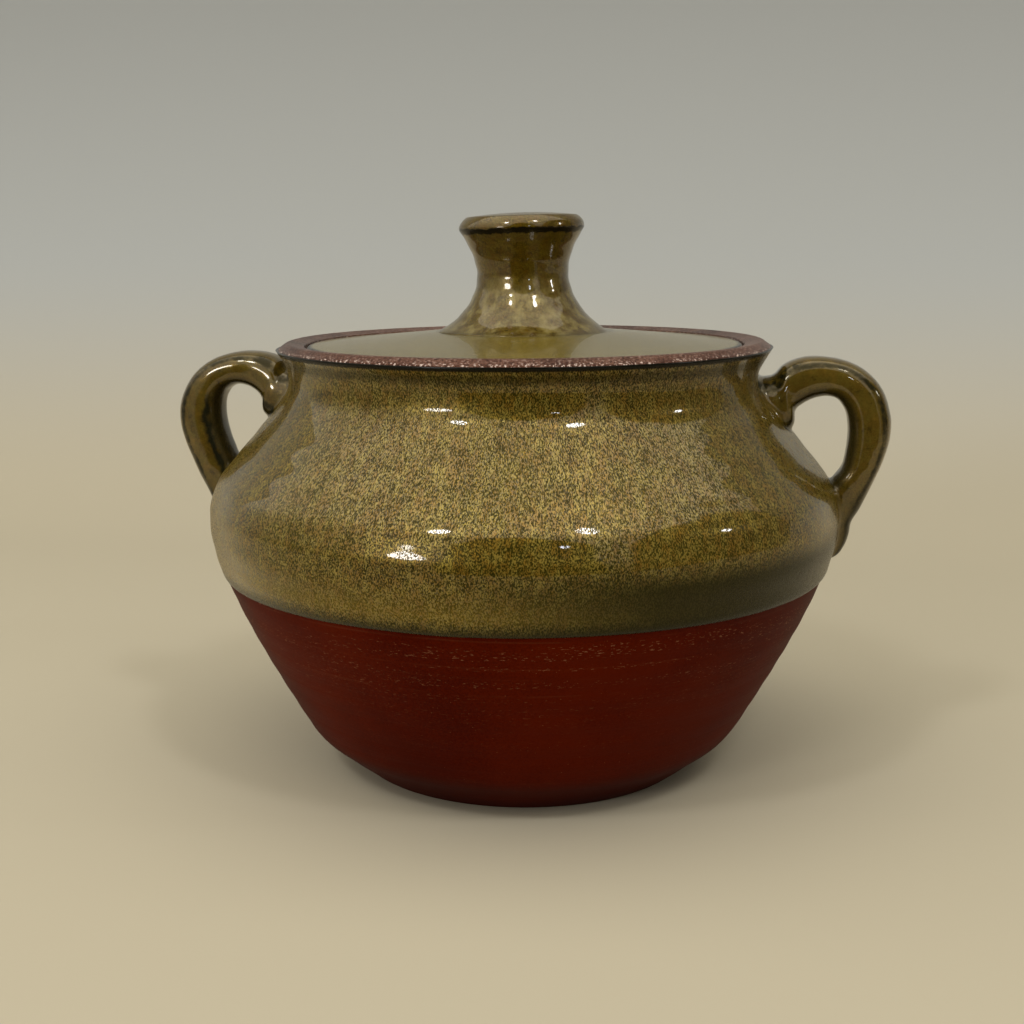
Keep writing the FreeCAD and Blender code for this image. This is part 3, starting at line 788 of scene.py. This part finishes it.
def build_puller():
    """The tree that pulls an oval strap of clay along a path and works its ends into a wall."""
    tree, given, result = new_tree(
        "Pulled Handle",
        "GeometryNodeTree",
        [
            ("Path", "Geometry"), ("Steps Along", "Int"), ("Steps Round", "Int"),
            ("Wall", "Object"), "Flatness", "Skirt", "Unevenness", "Inner Break", "Seed",
            ("Material", "Material"),
        ],
        [("Piece", "Geometry")],
    )
    curve = result_of(tree, "GeometryNodeMeshToCurve", {"Mesh": given["Path"]})
    kind = "GeometryNodeCurveSplineType"
    curve = result_of(tree, kind, {"Curve": curve}, spline_type="CATMULL_ROM")
    kind = "GeometryNodeSetSplineResolution"
    curve = result_of(tree, kind, {"Geometry": curve, "Resolution": 16})
    steps = given["Steps Along"]
    path = result_of(tree, "GeometryNodeResampleCurve", {"Curve": curve, "Count": steps})
    grid, row, angle = grid_of_turns(tree, path, steps, given["Steps Round"])
    place = result_of(tree, "GeometryNodeInputPosition")
    centre = at_row(tree, path, row, place, "FLOAT_VECTOR")
    lift_x = at_row(tree, path, row, named(tree, "lift_x"))
    lift_z = at_row(tree, path, row, named(tree, "lift_z"))
    half_width = at_row(tree, path, row, named(tree, "half_width"))
    cosine = calc(tree, "COSINE", angle)
    sine = calc(tree, "SINE", angle)

    def flattened(value):
        """A sine or cosine bent so that the strap is flatter, with fuller corners."""
        size = calc(tree, "POWER", calc(tree, "ABSOLUTE", value), given["Flatness"])
        return times(tree, size, calc(tree, "SIGN", value))

    across = flattened(sine)
    through = flattened(cosine)
    section = result_of(tree, "ShaderNodeCombineXYZ", {
        "X": times(tree, through, lift_x),
        "Y": times(tree, across, half_width),
        "Z": times(tree, through, lift_z),
    })
    surface = vector(tree, "ADD", centre, section)
    outward = vector(tree, "NORMALIZE", section)

    seeded = result_of(tree, "ShaderNodeCombineXYZ", {"X": given["Seed"]})
    spot = vector(tree, "ADD", surface, seeded)
    uneven = scaled(tree, noise(tree, spot, 70.0, 2.0), 2.0, -1.0)
    uneven = times(tree, uneven, given["Unevenness"])

    wall = put(tree, "GeometryNodeObjectInfo", {"Object": given["Wall"]}).outputs["Geometry"]
    near = put(tree, "GeometryNodeProximity", {"Geometry": wall, "Sample Position": surface})
    inputs = {
        "Mesh": wall,
        "Value": result_of(tree, "GeometryNodeInputNormal"),
        "Sample Position": surface,
    }
    kind = "GeometryNodeSampleNearestSurface"
    wall_normal = result_of(tree, kind, inputs, data_type="FLOAT_VECTOR")
    gap = vector(tree, "SUBTRACT", surface, near.outputs["Position"])
    off_wall = vector(tree, "DOT_PRODUCT", gap, wall_normal)
    skirt = given["Skirt"]
    short = calc(tree, "SUBTRACT", skirt, calc(tree, "MAXIMUM", off_wall, 0.0))
    short = calc(tree, "MAXIMUM", short, 0.0)
    square = calc(tree, "SUBTRACT", times(tree, skirt, skirt), times(tree, short, short))
    spread = calc(tree, "SUBTRACT", skirt, calc(tree, "SQRT", square))
    lean = vector(tree, "DOT_PRODUCT", outward, wall_normal)
    into = vector(tree, "SCALE", wall_normal, lean)
    level_way = vector(tree, "SUBTRACT", outward, into)
    skirt_shift = vector(tree, "SCALE", level_way, spread)
    rough_shift = vector(tree, "SCALE", outward, uneven)
    surface = vector(tree, "ADD", surface, skirt_shift)
    surface = vector(tree, "ADD", surface, rough_shift)

    # The glaze is thin along the arris of the outer face, on the pressed tail, and in a run
    # down one side of the inner face; the dark streaks over the upper joint are a painted dark
    # reflection.
    parts = put(tree, "ShaderNodeSeparateXYZ", {0: surface}).outputs
    torn = scaled(tree, noise(tree, spot, 260.0, 3.0, 0.65), 2.0, -1.0)
    arris = calc(tree, "SUBTRACT", scaled(tree, torn, 0.12, cosine), 0.56)
    arris = calc(tree, "ABSOLUTE", arris)
    ridge = times(tree, ramp(tree, arris, 0.20, 0.07), ramp(tree, torn, -0.40, 0.10, 0.35, 1.0))
    tail = ramp(tree, cosine, 0.15, 0.65, 0.0, 0.85)
    tail = times(tree, ramp(tree, parts["Z"], 0.096, 0.084), tail)
    ridge = calc(tree, "MAXIMUM", ridge, tail)
    beside = scaled(tree, torn, 0.32, calc(tree, "ADD", cosine, 0.40))
    run_line = times(
        tree,
        ramp(tree, calc(tree, "ABSOLUTE", beside), 0.24, 0.05),
        ramp(tree, sine, 0.0, -0.4),
        ramp(tree, parts["Z"], 0.121, 0.114),
        given["Inner Break"],
    )
    # Painted dark reflection: dark streaks over the upper joint, carried in the thin mask.
    painted_dark_reflection = times(
        tree,
        ramp(tree, calc(tree, "ABSOLUTE", calc(tree, "SUBTRACT", cosine, 0.62)), 0.30, 0.12),
        ramp(tree, calc(tree, "ABSOLUTE", parts["X"]), 0.0885, 0.0850),
        ramp(tree, torn, -0.12, 0.02),
    )
    thin = calc(tree, "MAXIMUM", calc(tree, "MAXIMUM", ridge, run_line), painted_dark_reflection)
    kept = [("thin", thin), ("outer_side", cosine)]
    piece = closed_piece(tree, grid, surface, kept, given["Material"])
    tree.links.new(piece, result["Piece"])
    return tree


puller = build_puller()

RIGHT_STRAP = [                 # outer radius and level, inner radius and level, width
    (0.0720, 0.1235, 0.0780, 0.1065, 0.0215),
    (0.0781, 0.1255, 0.0846, 0.1096, 0.0205),
    (0.0809, 0.1283, 0.0854, 0.1146, 0.0185),
    (0.0840, 0.1301, 0.0875, 0.1167, 0.0174),
    (0.0884, 0.1313, 0.0909, 0.1185, 0.0167),
    (0.0945, 0.1313, 0.0947, 0.1192, 0.0165),
    (0.1016, 0.1297, 0.0978, 0.1184, 0.0165),
    (0.1075, 0.1262, 0.0997, 0.1163, 0.0165),
    (0.1118, 0.1210, 0.1009, 0.1138, 0.0165),
    (0.1142, 0.1140, 0.1016, 0.1100, 0.0165),
    (0.1145, 0.1085, 0.1017, 0.1065, 0.0165),
    (0.1136, 0.1028, 0.1013, 0.1023, 0.0164),
    (0.1118, 0.0970, 0.1003, 0.0974, 0.0160),
    (0.1092, 0.0907, 0.0976, 0.0934, 0.0154),
    (0.1063, 0.0844, 0.0950, 0.0885, 0.0142),
    (0.1040, 0.0800, 0.0945, 0.0825, 0.0128),
    (0.1034, 0.0760, 0.0950, 0.0770, 0.0116),
    (0.1022, 0.0724, 0.0950, 0.0729, 0.0106),
    (0.0999, 0.0691, 0.0945, 0.0694, 0.0096),
    (0.0955, 0.0676, 0.0940, 0.0677, 0.0080),
]
LEFT_STRAP = [
    (0.0715, 0.1235, 0.0780, 0.1070, 0.0215),
    (0.0775, 0.1258, 0.0848, 0.1104, 0.0205),
    (0.0797, 0.1282, 0.0856, 0.1146, 0.0185),
    (0.0832, 0.1300, 0.0870, 0.1172, 0.0174),
    (0.0875, 0.1309, 0.0903, 0.1194, 0.0167),
    (0.0935, 0.1309, 0.0944, 0.1201, 0.0165),
    (0.1008, 0.1291, 0.0978, 0.1186, 0.0165),
    (0.1070, 0.1255, 0.0995, 0.1164, 0.0165),
    (0.1114, 0.1204, 0.1003, 0.1138, 0.0165),
    (0.1141, 0.1140, 0.1004, 0.1105, 0.0165),
    (0.1144, 0.1075, 0.1000, 0.1070, 0.0165),
    (0.1132, 0.1020, 0.0989, 0.1028, 0.0164),
    (0.1112, 0.0967, 0.0973, 0.0985, 0.0160),
    (0.1084, 0.0899, 0.0955, 0.0935, 0.0154),
    (0.1056, 0.0841, 0.0945, 0.0880, 0.0142),
    (0.1039, 0.0797, 0.0945, 0.0822, 0.0128),
    (0.1032, 0.0757, 0.0950, 0.0767, 0.0116),
    (0.1020, 0.0722, 0.0950, 0.0727, 0.0106),
    (0.0998, 0.0690, 0.0945, 0.0693, 0.0096),
    (0.0955, 0.0675, 0.0940, 0.0676, 0.0080),
]

HANDLE_GLASS = (0.013, 0.0085, 0.0006, 1.0)
HANDLE_BROWN = (0.060, 0.041, 0.0045, 1.0)
HANDLE_GOLD = (0.158, 0.110, 0.0160, 1.0)
HANDLE_AMBER = (0.148, 0.086, 0.0110, 1.0)
HANDLE_BLACK = (0.004, 0.0065, 0.0045, 1.0)
handle_finish, tree, shader, place, colour = olive_glaze(
    "olive_glaze_handles", HANDLE_GLASS, HANDLE_BROWN, HANDLE_GOLD, HANDLE_AMBER,
    crystals=2700.0, roughness=0.14, metal=0.30, smooth=0.80,
)
thin = stored(tree, "thin")
outer_side = stored(tree, "outer_side")
mottled = noise(tree, place, 330.0, 5.0, 0.7)
colour = mixed(tree, ramp(tree, mottled, 0.52, 0.72, 0.0, 0.6), colour, HANDLE_AMBER)
colour = mixed(tree, ramp(tree, mottled, 0.48, 0.28, 0.0, 0.7), colour, HANDLE_GLASS)
tree.links.new(colour, shader.inputs["Base Color"])
# Painted shade: the inner side of each loop, which faces the pot, is darkened and dulled.
painted_inner_shade = ramp(tree, outer_side, -0.25, -0.70)
break_and_painted_shade(tree, shader, painted_inner_shade, HANDLE_BLACK, 0.7)
# The thin mask also carries the painted dark reflection over the upper joint.
break_and_painted_shade(tree, shader, thin, HANDLE_BLACK, 0.9)

for name, side, strap, node, seed, inner_break in (
    ("right_loop_handle", 1.0, RIGHT_STRAP, "handle_right", 3.0, 0.0),
    ("left_loop_handle", -1.0, LEFT_STRAP, "handle_left", 8.0, 1.0),
):
    points, lift_x, lift_z, half_width = [], [], [], []
    for outer_radius, outer_level, inner_radius, inner_level, width in strap:
        middle = side * (outer_radius + inner_radius) / 2
        points.append((middle, 0.0, (outer_level + inner_level) / 2))
        lift_x.append(side * (outer_radius - inner_radius) / 2)
        lift_z.append((outer_level - inner_level) / 2)
        half_width.append(width / 2)
    for end in (0, -1):
        x, y, z = points[end]
        at = 0 if end == 0 else len(points)
        points.insert(at, (x - side * END_STEP, y, z))
        for values in (lift_x, lift_z, half_width):
            values.insert(at, 0.0)
    attributes = {"lift_x": lift_x, "lift_z": lift_z, "half_width": half_width}
    handle = grown(name, points, attributes, puller, {
        "Steps Along": 440, "Steps Round": 96, "Wall": coat, "Flatness": 0.78, "Skirt": SKIRT,
        "Unevenness": 0.00025, "Inner Break": inner_break, "Seed": seed, "Material": handle_finish,
    })
    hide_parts(node)
    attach(handle, "pot")

# ---------------------------------------------------------------------------------------
# The liner: the same glaze inside the pot, thinner and evener, poured in, swirled and
# poured out.  It stops under the ledge, which is wiped bare so that the lid can't stick.
# ---------------------------------------------------------------------------------------
LINER = 0.0005
LINER_HOLD = 0.0002            # how far its hidden face lies inside the clay
liner_finish, *_ = olive_glaze("olive_glaze_liner", DARK_GLASS, OLIVE, GOLD, AMBER)
outline = inner_runs(LINER, 0.0022) + inner_runs(-LINER_HOLD, 0.004)[::-1]
liner = turned("liner_glaze_coat", outline, liner_finish, **{"Turns": 200})
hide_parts("liner_glaze")
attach(liner, "pot")

# ---------------------------------------------------------------------------------------
# The lid: a turned disc of the same clay that drops into the gallery, with a flange below
# that keeps it centred.  Its seat and the flange's bottom are bare.
# ---------------------------------------------------------------------------------------
LID_RADIUS = 0.0680
LID_EDGE_LEVEL = LEDGE_LEVEL + 0.0040
LID_CROWN = LID_EDGE_LEVEL + 0.0038
FLANGE_RADIUS = 0.0605
FLANGE_BORE = 0.0555
FLANGE_BOTTOM = LEDGE_LEVEL - 0.0090
KNOB_FOOT = 0.0271
DISH_LEVEL = LID_CROWN - 0.0062

lid_clay, *_ = red_stoneware(
    "red_stoneware_lid", RIM_DARK, RIM_BODY, RIM_PALE, roughness=0.45, specular=0.4,
)
soft = 0.001                   # radius of the lid's upper corner
outline = drawn(
    (0, DISH_LEVEL),
    (0.003, 0.5, (FLANGE_BORE * 0.6, DISH_LEVEL), (FLANGE_BORE, LEDGE_LEVEL)),
    (0.002, 0.3, (FLANGE_BORE, FLANGE_BOTTOM + SPONGED)),
    (0.0003, 0.0, (FLANGE_BORE, FLANGE_BOTTOM), (FLANGE_BORE + SPONGED, FLANGE_BOTTOM)),
    (0.0012, 0.3, (FLANGE_RADIUS - SPONGED, FLANGE_BOTTOM)),
    (0.0003, 0.0, (FLANGE_RADIUS, FLANGE_BOTTOM), (FLANGE_RADIUS, FLANGE_BOTTOM + SPONGED)),
    (0.001, 0.3, (FLANGE_RADIUS, LEDGE_LEVEL)),
    (0.001, 0.3, (LID_RADIUS - SPONGED, LEDGE_LEVEL)),
    (0.0003, 0.0, (LID_RADIUS, LEDGE_LEVEL), (LID_RADIUS, LEDGE_LEVEL + SPONGED)),
    (0.0006, 0.3, (LID_RADIUS, LID_EDGE_LEVEL - soft)),
    (0.0003, 0.3, (LID_RADIUS, LID_EDGE_LEVEL), (LID_RADIUS - soft, LID_EDGE_LEVEL)),
    (0.004, 0.3, (KNOB_FOOT, LID_CROWN)),
    (0.006, 0.0, (0, LID_CROWN)),
)
lid = turned("turned_lid", outline, lid_clay, **{"Turns": 240, "Line Depth": 0.00003})
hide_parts("lid")
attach(lid, "lid")

# ---------------------------------------------------------------------------------------
# The lid's glaze: poured over the top and the edge, level and thick, so it pools glossy
# and pale between the rim and the knob.
# ---------------------------------------------------------------------------------------
LID_OLIVE = (0.095, 0.072, 0.010, 1.0)
LID_GOLD = (0.250, 0.185, 0.028, 1.0)
lid_finish, tree, shader, *_ = olive_glaze(
    "olive_glaze_lid", DARK_GLASS, LID_OLIVE, LID_GOLD, LID_GOLD,
    crystals=2600.0, roughness=0.18, metal=0.25, smooth=0.45,
)
reach = stored(tree, "reach")
at_edge = ramp(tree, reach, LID_RADIUS - 0.0016, LID_RADIUS - 0.0002)
break_and_painted_shade(tree, shader, at_edge, BREAK_BLACK)
at_knob = ramp(tree, reach, KNOB_FOOT + 0.0016, KNOB_FOOT + 0.0004)
break_and_painted_shade(tree, shader, at_knob, DARK_GLASS, 0.4)

top = LID_EDGE_LEVEL + GLAZE
edge_radius = LID_RADIUS + GLAZE
knob_hole = KNOB_FOOT - 0.002
coat_end = (LID_RADIUS - 0.0004, LID_EDGE_LEVEL - 0.0018)
outline = drawn(
    coat_end,
    (0.0003, 0.0, (edge_radius, LID_EDGE_LEVEL - 0.0016), (edge_radius, LID_EDGE_LEVEL - 0.0004)),
    (0.0002, 0.3, (edge_radius, top), (edge_radius - 0.0016, top + 0.0001)),
    (0.0009, 1.0, (KNOB_FOOT, LID_CROWN + GLAZE)),
    (0.0009, 0.0, (knob_hole, LID_CROWN + GLAZE)),
    (0.001, 0.0, (knob_hole, LID_CROWN - 0.0003)),
    (0.006, 0.0, (LID_RADIUS - soft, LID_EDGE_LEVEL - 0.0004)),
    (0.001, 0.0, coat_end),
)
lid_coat = turned(
    "lid_glaze_coat", outline, lid_finish,
    **{"Ring Depth": 0.00010, "Ring Pitch": 0.0008, "Wobble": 0.00012},
)
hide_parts("lid_glaze")
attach(lid_coat, "lid")

# ---------------------------------------------------------------------------------------
# The glaze under the lid: a thin coat in the shallow dish inside the flange.
# ---------------------------------------------------------------------------------------
under_level = DISH_LEVEL - LINER
under_bore = FLANGE_BORE - LINER
under_edge = LEDGE_LEVEL - LINER
glaze_bottom = FLANGE_BOTTOM + 0.001
hidden_bore = FLANGE_BORE + LINER_HOLD
hidden_level = DISH_LEVEL + LINER_HOLD
outline = drawn(
    (0, under_level),
    (0.002, 0.0, (under_bore * 0.6, under_level), (under_bore, under_edge)),
    (0.002, 0.0, (under_bore, glaze_bottom)),
    (0.001, 0.0, (hidden_bore, glaze_bottom)),
    (0.003, 0.0, (hidden_bore, LEDGE_LEVEL)),
    (0.004, 0.0, (FLANGE_BORE * 0.6, hidden_level), (0, hidden_level)),
)
lid_liner = turned("lid_liner_glaze_coat", outline, liner_finish, **{"Turns": 200})
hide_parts("lid_liner_glaze")
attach(lid_liner, "lid")

# ---------------------------------------------------------------------------------------
# The knob: thrown as a spool on the finished lid and glazed with it.  The glaze breaks
# black on its sharp edge, and it leans a little, as a piece thrown by hand does.
# ---------------------------------------------------------------------------------------
KNOB_LEVEL = LID_CROWN + GLAZE
WAIST_RADIUS = 0.0144
WAIST_LEVEL = KNOB_LEVEL + 0.0180
EDGE_RADIUS = 0.0197
EDGE_LEVEL = WAIST_LEVEL + 0.0138
CAP_RADIUS = 0.0173
CAP_LEVEL = EDGE_LEVEL + 0.0039
KNOB_TOP = CAP_LEVEL + 0.0011

KNOB_GLASS = (0.024, 0.014, 0.0006, 1.0)
KNOB_OLIVE = (0.056, 0.037, 0.0020, 1.0)
KNOB_GOLD = (0.155, 0.104, 0.0080, 1.0)
KNOB_AMBER = (0.125, 0.062, 0.0028, 1.0)
KNOB_PALE = (0.290, 0.235, 0.080, 1.0)
knob_finish, tree, shader, place, colour = olive_glaze(
    "olive_glaze_knob", KNOB_GLASS, KNOB_OLIVE, KNOB_GOLD, KNOB_AMBER,
    crystals=2600.0, roughness=0.18, metal=0.30, smooth=0.55,
)
level = stored(tree, "level")
reach = stored(tree, "reach")
ragged = noise(tree, stretched(tree, place, (1.0, 1.0, 0.3)), 420.0, 3.0)
ragged = scaled(tree, ragged, 0.0018, -0.0009)
below_edge = calc(tree, "SUBTRACT", EDGE_LEVEL, calc(tree, "ADD", level, ragged))
pooled = noise(tree, stretched(tree, place, (1.0, 1.0, 0.6)), 260.0, 5.0, 0.6)
pooled = times(
    tree,
    ramp(tree, pooled, 0.38, 0.72),
    ramp(tree, level, WAIST_LEVEL + 0.003, WAIST_LEVEL - 0.008),
    0.62,
)
mottled = noise(tree, place, 420.0, 5.0, 0.75)
colour = mixed(tree, ramp(tree, mottled, 0.50, 0.34, 0.0, 0.65), colour, KNOB_GLASS)
colour = mixed(tree, pooled, colour, KNOB_PALE)
tree.links.new(colour, shader.inputs["Base Color"])
thin = times(tree, ramp(tree, below_edge, 0.0017, 0.0011), ramp(tree, below_edge, -0.0005, -0.0001))
break_and_painted_shade(tree, shader, thin, BREAK_BLACK)
crease = ramp(tree, level, KNOB_LEVEL + 0.0012, KNOB_LEVEL + 0.0003)
break_and_painted_shade(tree, shader, crease, DARK_GLASS, 0.35)

foot_run = KNOB_FOOT - WAIST_RADIUS
edge_run = EDGE_RADIUS - WAIST_RADIUS
waist_rise = WAIST_LEVEL - KNOB_LEVEL
edge_rise = EDGE_LEVEL - WAIST_LEVEL
to_waist = [
    (WAIST_RADIUS + 0.54 * foot_run, KNOB_LEVEL + 0.15 * waist_rise),
    (WAIST_RADIUS, KNOB_LEVEL + 0.54 * waist_rise),
]
to_edge = [
    (WAIST_RADIUS, WAIST_LEVEL + 0.34 * edge_rise),
    (WAIST_RADIUS + 0.42 * edge_run, WAIST_LEVEL + 0.66 * edge_rise),
]
outline = drawn(
    (0, LID_CROWN),
    (0.006, 0.0, (KNOB_FOOT, LID_CROWN)),
    (0.0003, 0.0, (KNOB_FOOT, KNOB_LEVEL)),
    (0.0004, 1.0, *to_waist, (WAIST_RADIUS, WAIST_LEVEL)),
    (0.0004, 1.0, *to_edge, (EDGE_RADIUS - 0.0004, EDGE_LEVEL - 0.0005)),
    (0.00015, 0.6, (EDGE_RADIUS, EDGE_LEVEL), (EDGE_RADIUS - 0.00005, EDGE_LEVEL + 0.0006)),
    (0.0003, 1.0, (EDGE_RADIUS - 0.0002, EDGE_LEVEL + 0.0024), (CAP_RADIUS, CAP_LEVEL)),
    (0.0006, 1.0, (0.5 * CAP_RADIUS, KNOB_TOP), (0, KNOB_TOP)),
)
knob = turned(
    "thrown_knob", outline, knob_finish,
    **{"Turns": 256, "Ring Depth": 0.00014, "Ring Pitch": 0.0052, "Wobble": 0.00016, "Seed": 5.0,
       "Lean": 0.030, "Lean From": 0.140, "Lean To": EDGE_LEVEL, "Sway": -0.00090},
)
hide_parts("knob")
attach(knob, "lid")

# ---------------------------------------------------------------------------------------
# The studio: a plain pale table that sweeps up into its backdrop, small soft lamps in
# front, a camera a little above the pot, and a room that shows only in the glaze: pale
# air, a bright ceiling, and the dark round shapes of what stands beside and behind the
# camera.  The camera itself sees plain air behind the backdrop.
# ---------------------------------------------------------------------------------------
TABLE_COLOUR = (0.434, 0.390, 0.298, 1.0)
BACKDROP_COLOUR = (0.388, 0.400, 0.398, 1.0)
sweep_finish, tree, shader, place = new_material("plain_sweep")
height = put(tree, "ShaderNodeSeparateXYZ", {0: place}).outputs["Z"]
colour = mixed(tree, ramp(tree, height, 0.0, 0.16), TABLE_COLOUR, BACKDROP_COLOUR)
fill(tree, shader.inputs, {"Base Color": colour, "Roughness": 0.9, "Specular IOR Level": 0.1})

SWEEP_WIDTH = 3.0
SWEEP_FRONT = -0.36
SWEEP_BACK = 0.62
SWEEP_CURVE = 0.35
SWEEP_HEIGHT = 1.6
SWEEP_STEPS = 24
curve_start = SWEEP_BACK - SWEEP_CURVE
side_line = [(SWEEP_FRONT, 0.0), (curve_start, 0.0)]
for step in range(1, SWEEP_STEPS + 1):
    turn = step / SWEEP_STEPS * math.pi / 2
    rise = SWEEP_CURVE - SWEEP_CURVE * math.cos(turn)
    side_line.append((curve_start + SWEEP_CURVE * math.sin(turn), rise))
side_line.append((SWEEP_BACK, SWEEP_HEIGHT))
corners = [(x, y, z) for y, z in side_line for x in (-SWEEP_WIDTH / 2, SWEEP_WIDTH / 2)]
faces = [(2 * i, 2 * i + 1, 2 * i + 3, 2 * i + 2) for i in range(len(side_line) - 1)]
sweep_mesh = bpy.data.meshes.new("table_and_backdrop")
sweep_mesh.from_pydata(corners, [], faces)
sweep_mesh.shade_smooth()
sweep_mesh.materials.append(sweep_finish)
sweep = bpy.data.objects.new("table_and_backdrop", sweep_mesh)
bpy.context.scene.collection.objects.link(sweep)

POT_MIDDLE = Vector((0.0, 0.0, 0.09))
LAMP_DISTANCE = 2.2


def lamp(name, azimuth, elevation, size, power, colour=(1.0, 1.0, 1.0), tall=1.0):
    """A soft lamp that faces the pot, placed by its angles from the front and the table."""
    light = bpy.data.lights.new(name, "AREA")
    light.shape = "ELLIPSE"
    light.size = size
    light.size_y = size * tall
    light.energy = power
    light.color = colour
    holder = bpy.data.objects.new(name, light)
    bpy.context.scene.collection.objects.link(holder)
    turn, rise = math.radians(azimuth), math.radians(elevation)
    flat = math.cos(rise)
    way = Vector((math.sin(turn) * flat, -math.cos(turn) * flat, math.sin(rise)))
    holder.location = POT_MIDDLE + way * LAMP_DISTANCE
    holder.rotation_euler = way.to_track_quat("Z", "Y").to_euler()


lamp("window_left", -32.0, 15.0, size=0.52, power=9.0, colour=(1.0, 0.98, 0.95), tall=0.6)
lamp("ceiling_left", -29.0, 48.0, size=0.24, power=6.4, tall=1.5)
lamp("ceiling_right", 38.0, 53.0, size=0.24, power=6.4, tall=1.5)
lamp("side_right", 85.0, 23.0, size=0.16, power=2.2, tall=1.3)
lamp("far_window", 22.0, 21.0, size=0.13, power=0.8, colour=(0.82, 0.88, 1.0))

world = bpy.data.worlds.new("studio_air")
world.use_nodes = True
bpy.context.scene.world = world
tree = world.node_tree
way = put(tree, "ShaderNodeTexCoord").outputs["Generated"]
LOW_AIR = (0.34, 0.33, 0.30, 1.0)
HIGH_AIR = (1.14, 1.09, 0.97, 1.0)
SHADED_AIR = (0.15, 0.125, 0.085, 1.0)
CAMERA_STAND = (0.020, 0.019, 0.015, 1.0)
CEILING = (1.74, 1.64, 1.38, 1.0)
PLAIN_AIR = (0.420, 0.425, 0.410, 1.0)
sides = put(tree, "ShaderNodeSeparateXYZ", {0: way}).outputs
up = sides["Z"]
degree = 180 / math.pi
azimuth = calc(tree, "ARCTAN2", sides["X"], times(tree, sides["Y"], -1.0))
azimuth = times(tree, azimuth, degree)
elevation = times(tree, calc(tree, "ARCSINE", up), degree)
ragged = scaled(tree, noise(tree, way, 3.5, 3.0), 0.50, -0.25)


def dark_shape(middle, half_width, base, top, edge=0.10):
    """Mask of something dark in the room, round topped, in degrees round and up."""
    across = calc(tree, "DIVIDE", calc(tree, "SUBTRACT", azimuth, middle), half_width)
    across = calc(tree, "POWER", across, 2.0)
    above = calc(tree, "DIVIDE", calc(tree, "SUBTRACT", elevation, base), top - base)
    above = calc(tree, "POWER", calc(tree, "MAXIMUM", above, 0.0), 2.0)
    far = calc(tree, "ADD", calc(tree, "ADD", across, above), ragged)
    return ramp(tree, far, 1.0 + edge, 1.0 - edge)


air = mixed(tree, ramp(tree, up, 0.02, 0.50), LOW_AIR, HIGH_AIR)
ceiling = ramp(tree, scaled(tree, ragged, 0.5, up), 0.62, 0.74)
air = mixed(tree, ceiling, air, CEILING)
shelf = times(tree, dark_shape(-76.0, 30.0, 0.0, 34.0, edge=0.5), 0.30)
air = mixed(tree, shelf, air, SHADED_AIR)
air = mixed(tree, dark_shape(84.0, 40.0, 4.0, 46.0), air, SHADED_AIR)
air = mixed(tree, dark_shape(7.0, 30.0, -8.0, 44.0), air, CAMERA_STAND)
seen = put(tree, "ShaderNodeLightPath").outputs["Is Camera Ray"]
air = mixed(tree, seen, air, PLAIN_AIR)
tree.links.new(air, tree.nodes["Background"].inputs["Color"])

camera_data = bpy.data.cameras.new("camera")
camera_data.lens = 50.0
camera_data.sensor_width = 36.0
camera = bpy.data.objects.new("camera", camera_data)
camera.location = (0.0632, -0.4498, 0.1681)
camera_dip = 11.02             # degrees below the horizon
camera_turn = 8.49             # degrees to the left
camera.rotation_euler = (math.radians(90 - camera_dip), 0.0, math.radians(camera_turn))
bpy.context.scene.collection.objects.link(camera)
bpy.context.scene.camera = camera
bpy.context.scene.view_settings.view_transform = "Standard"
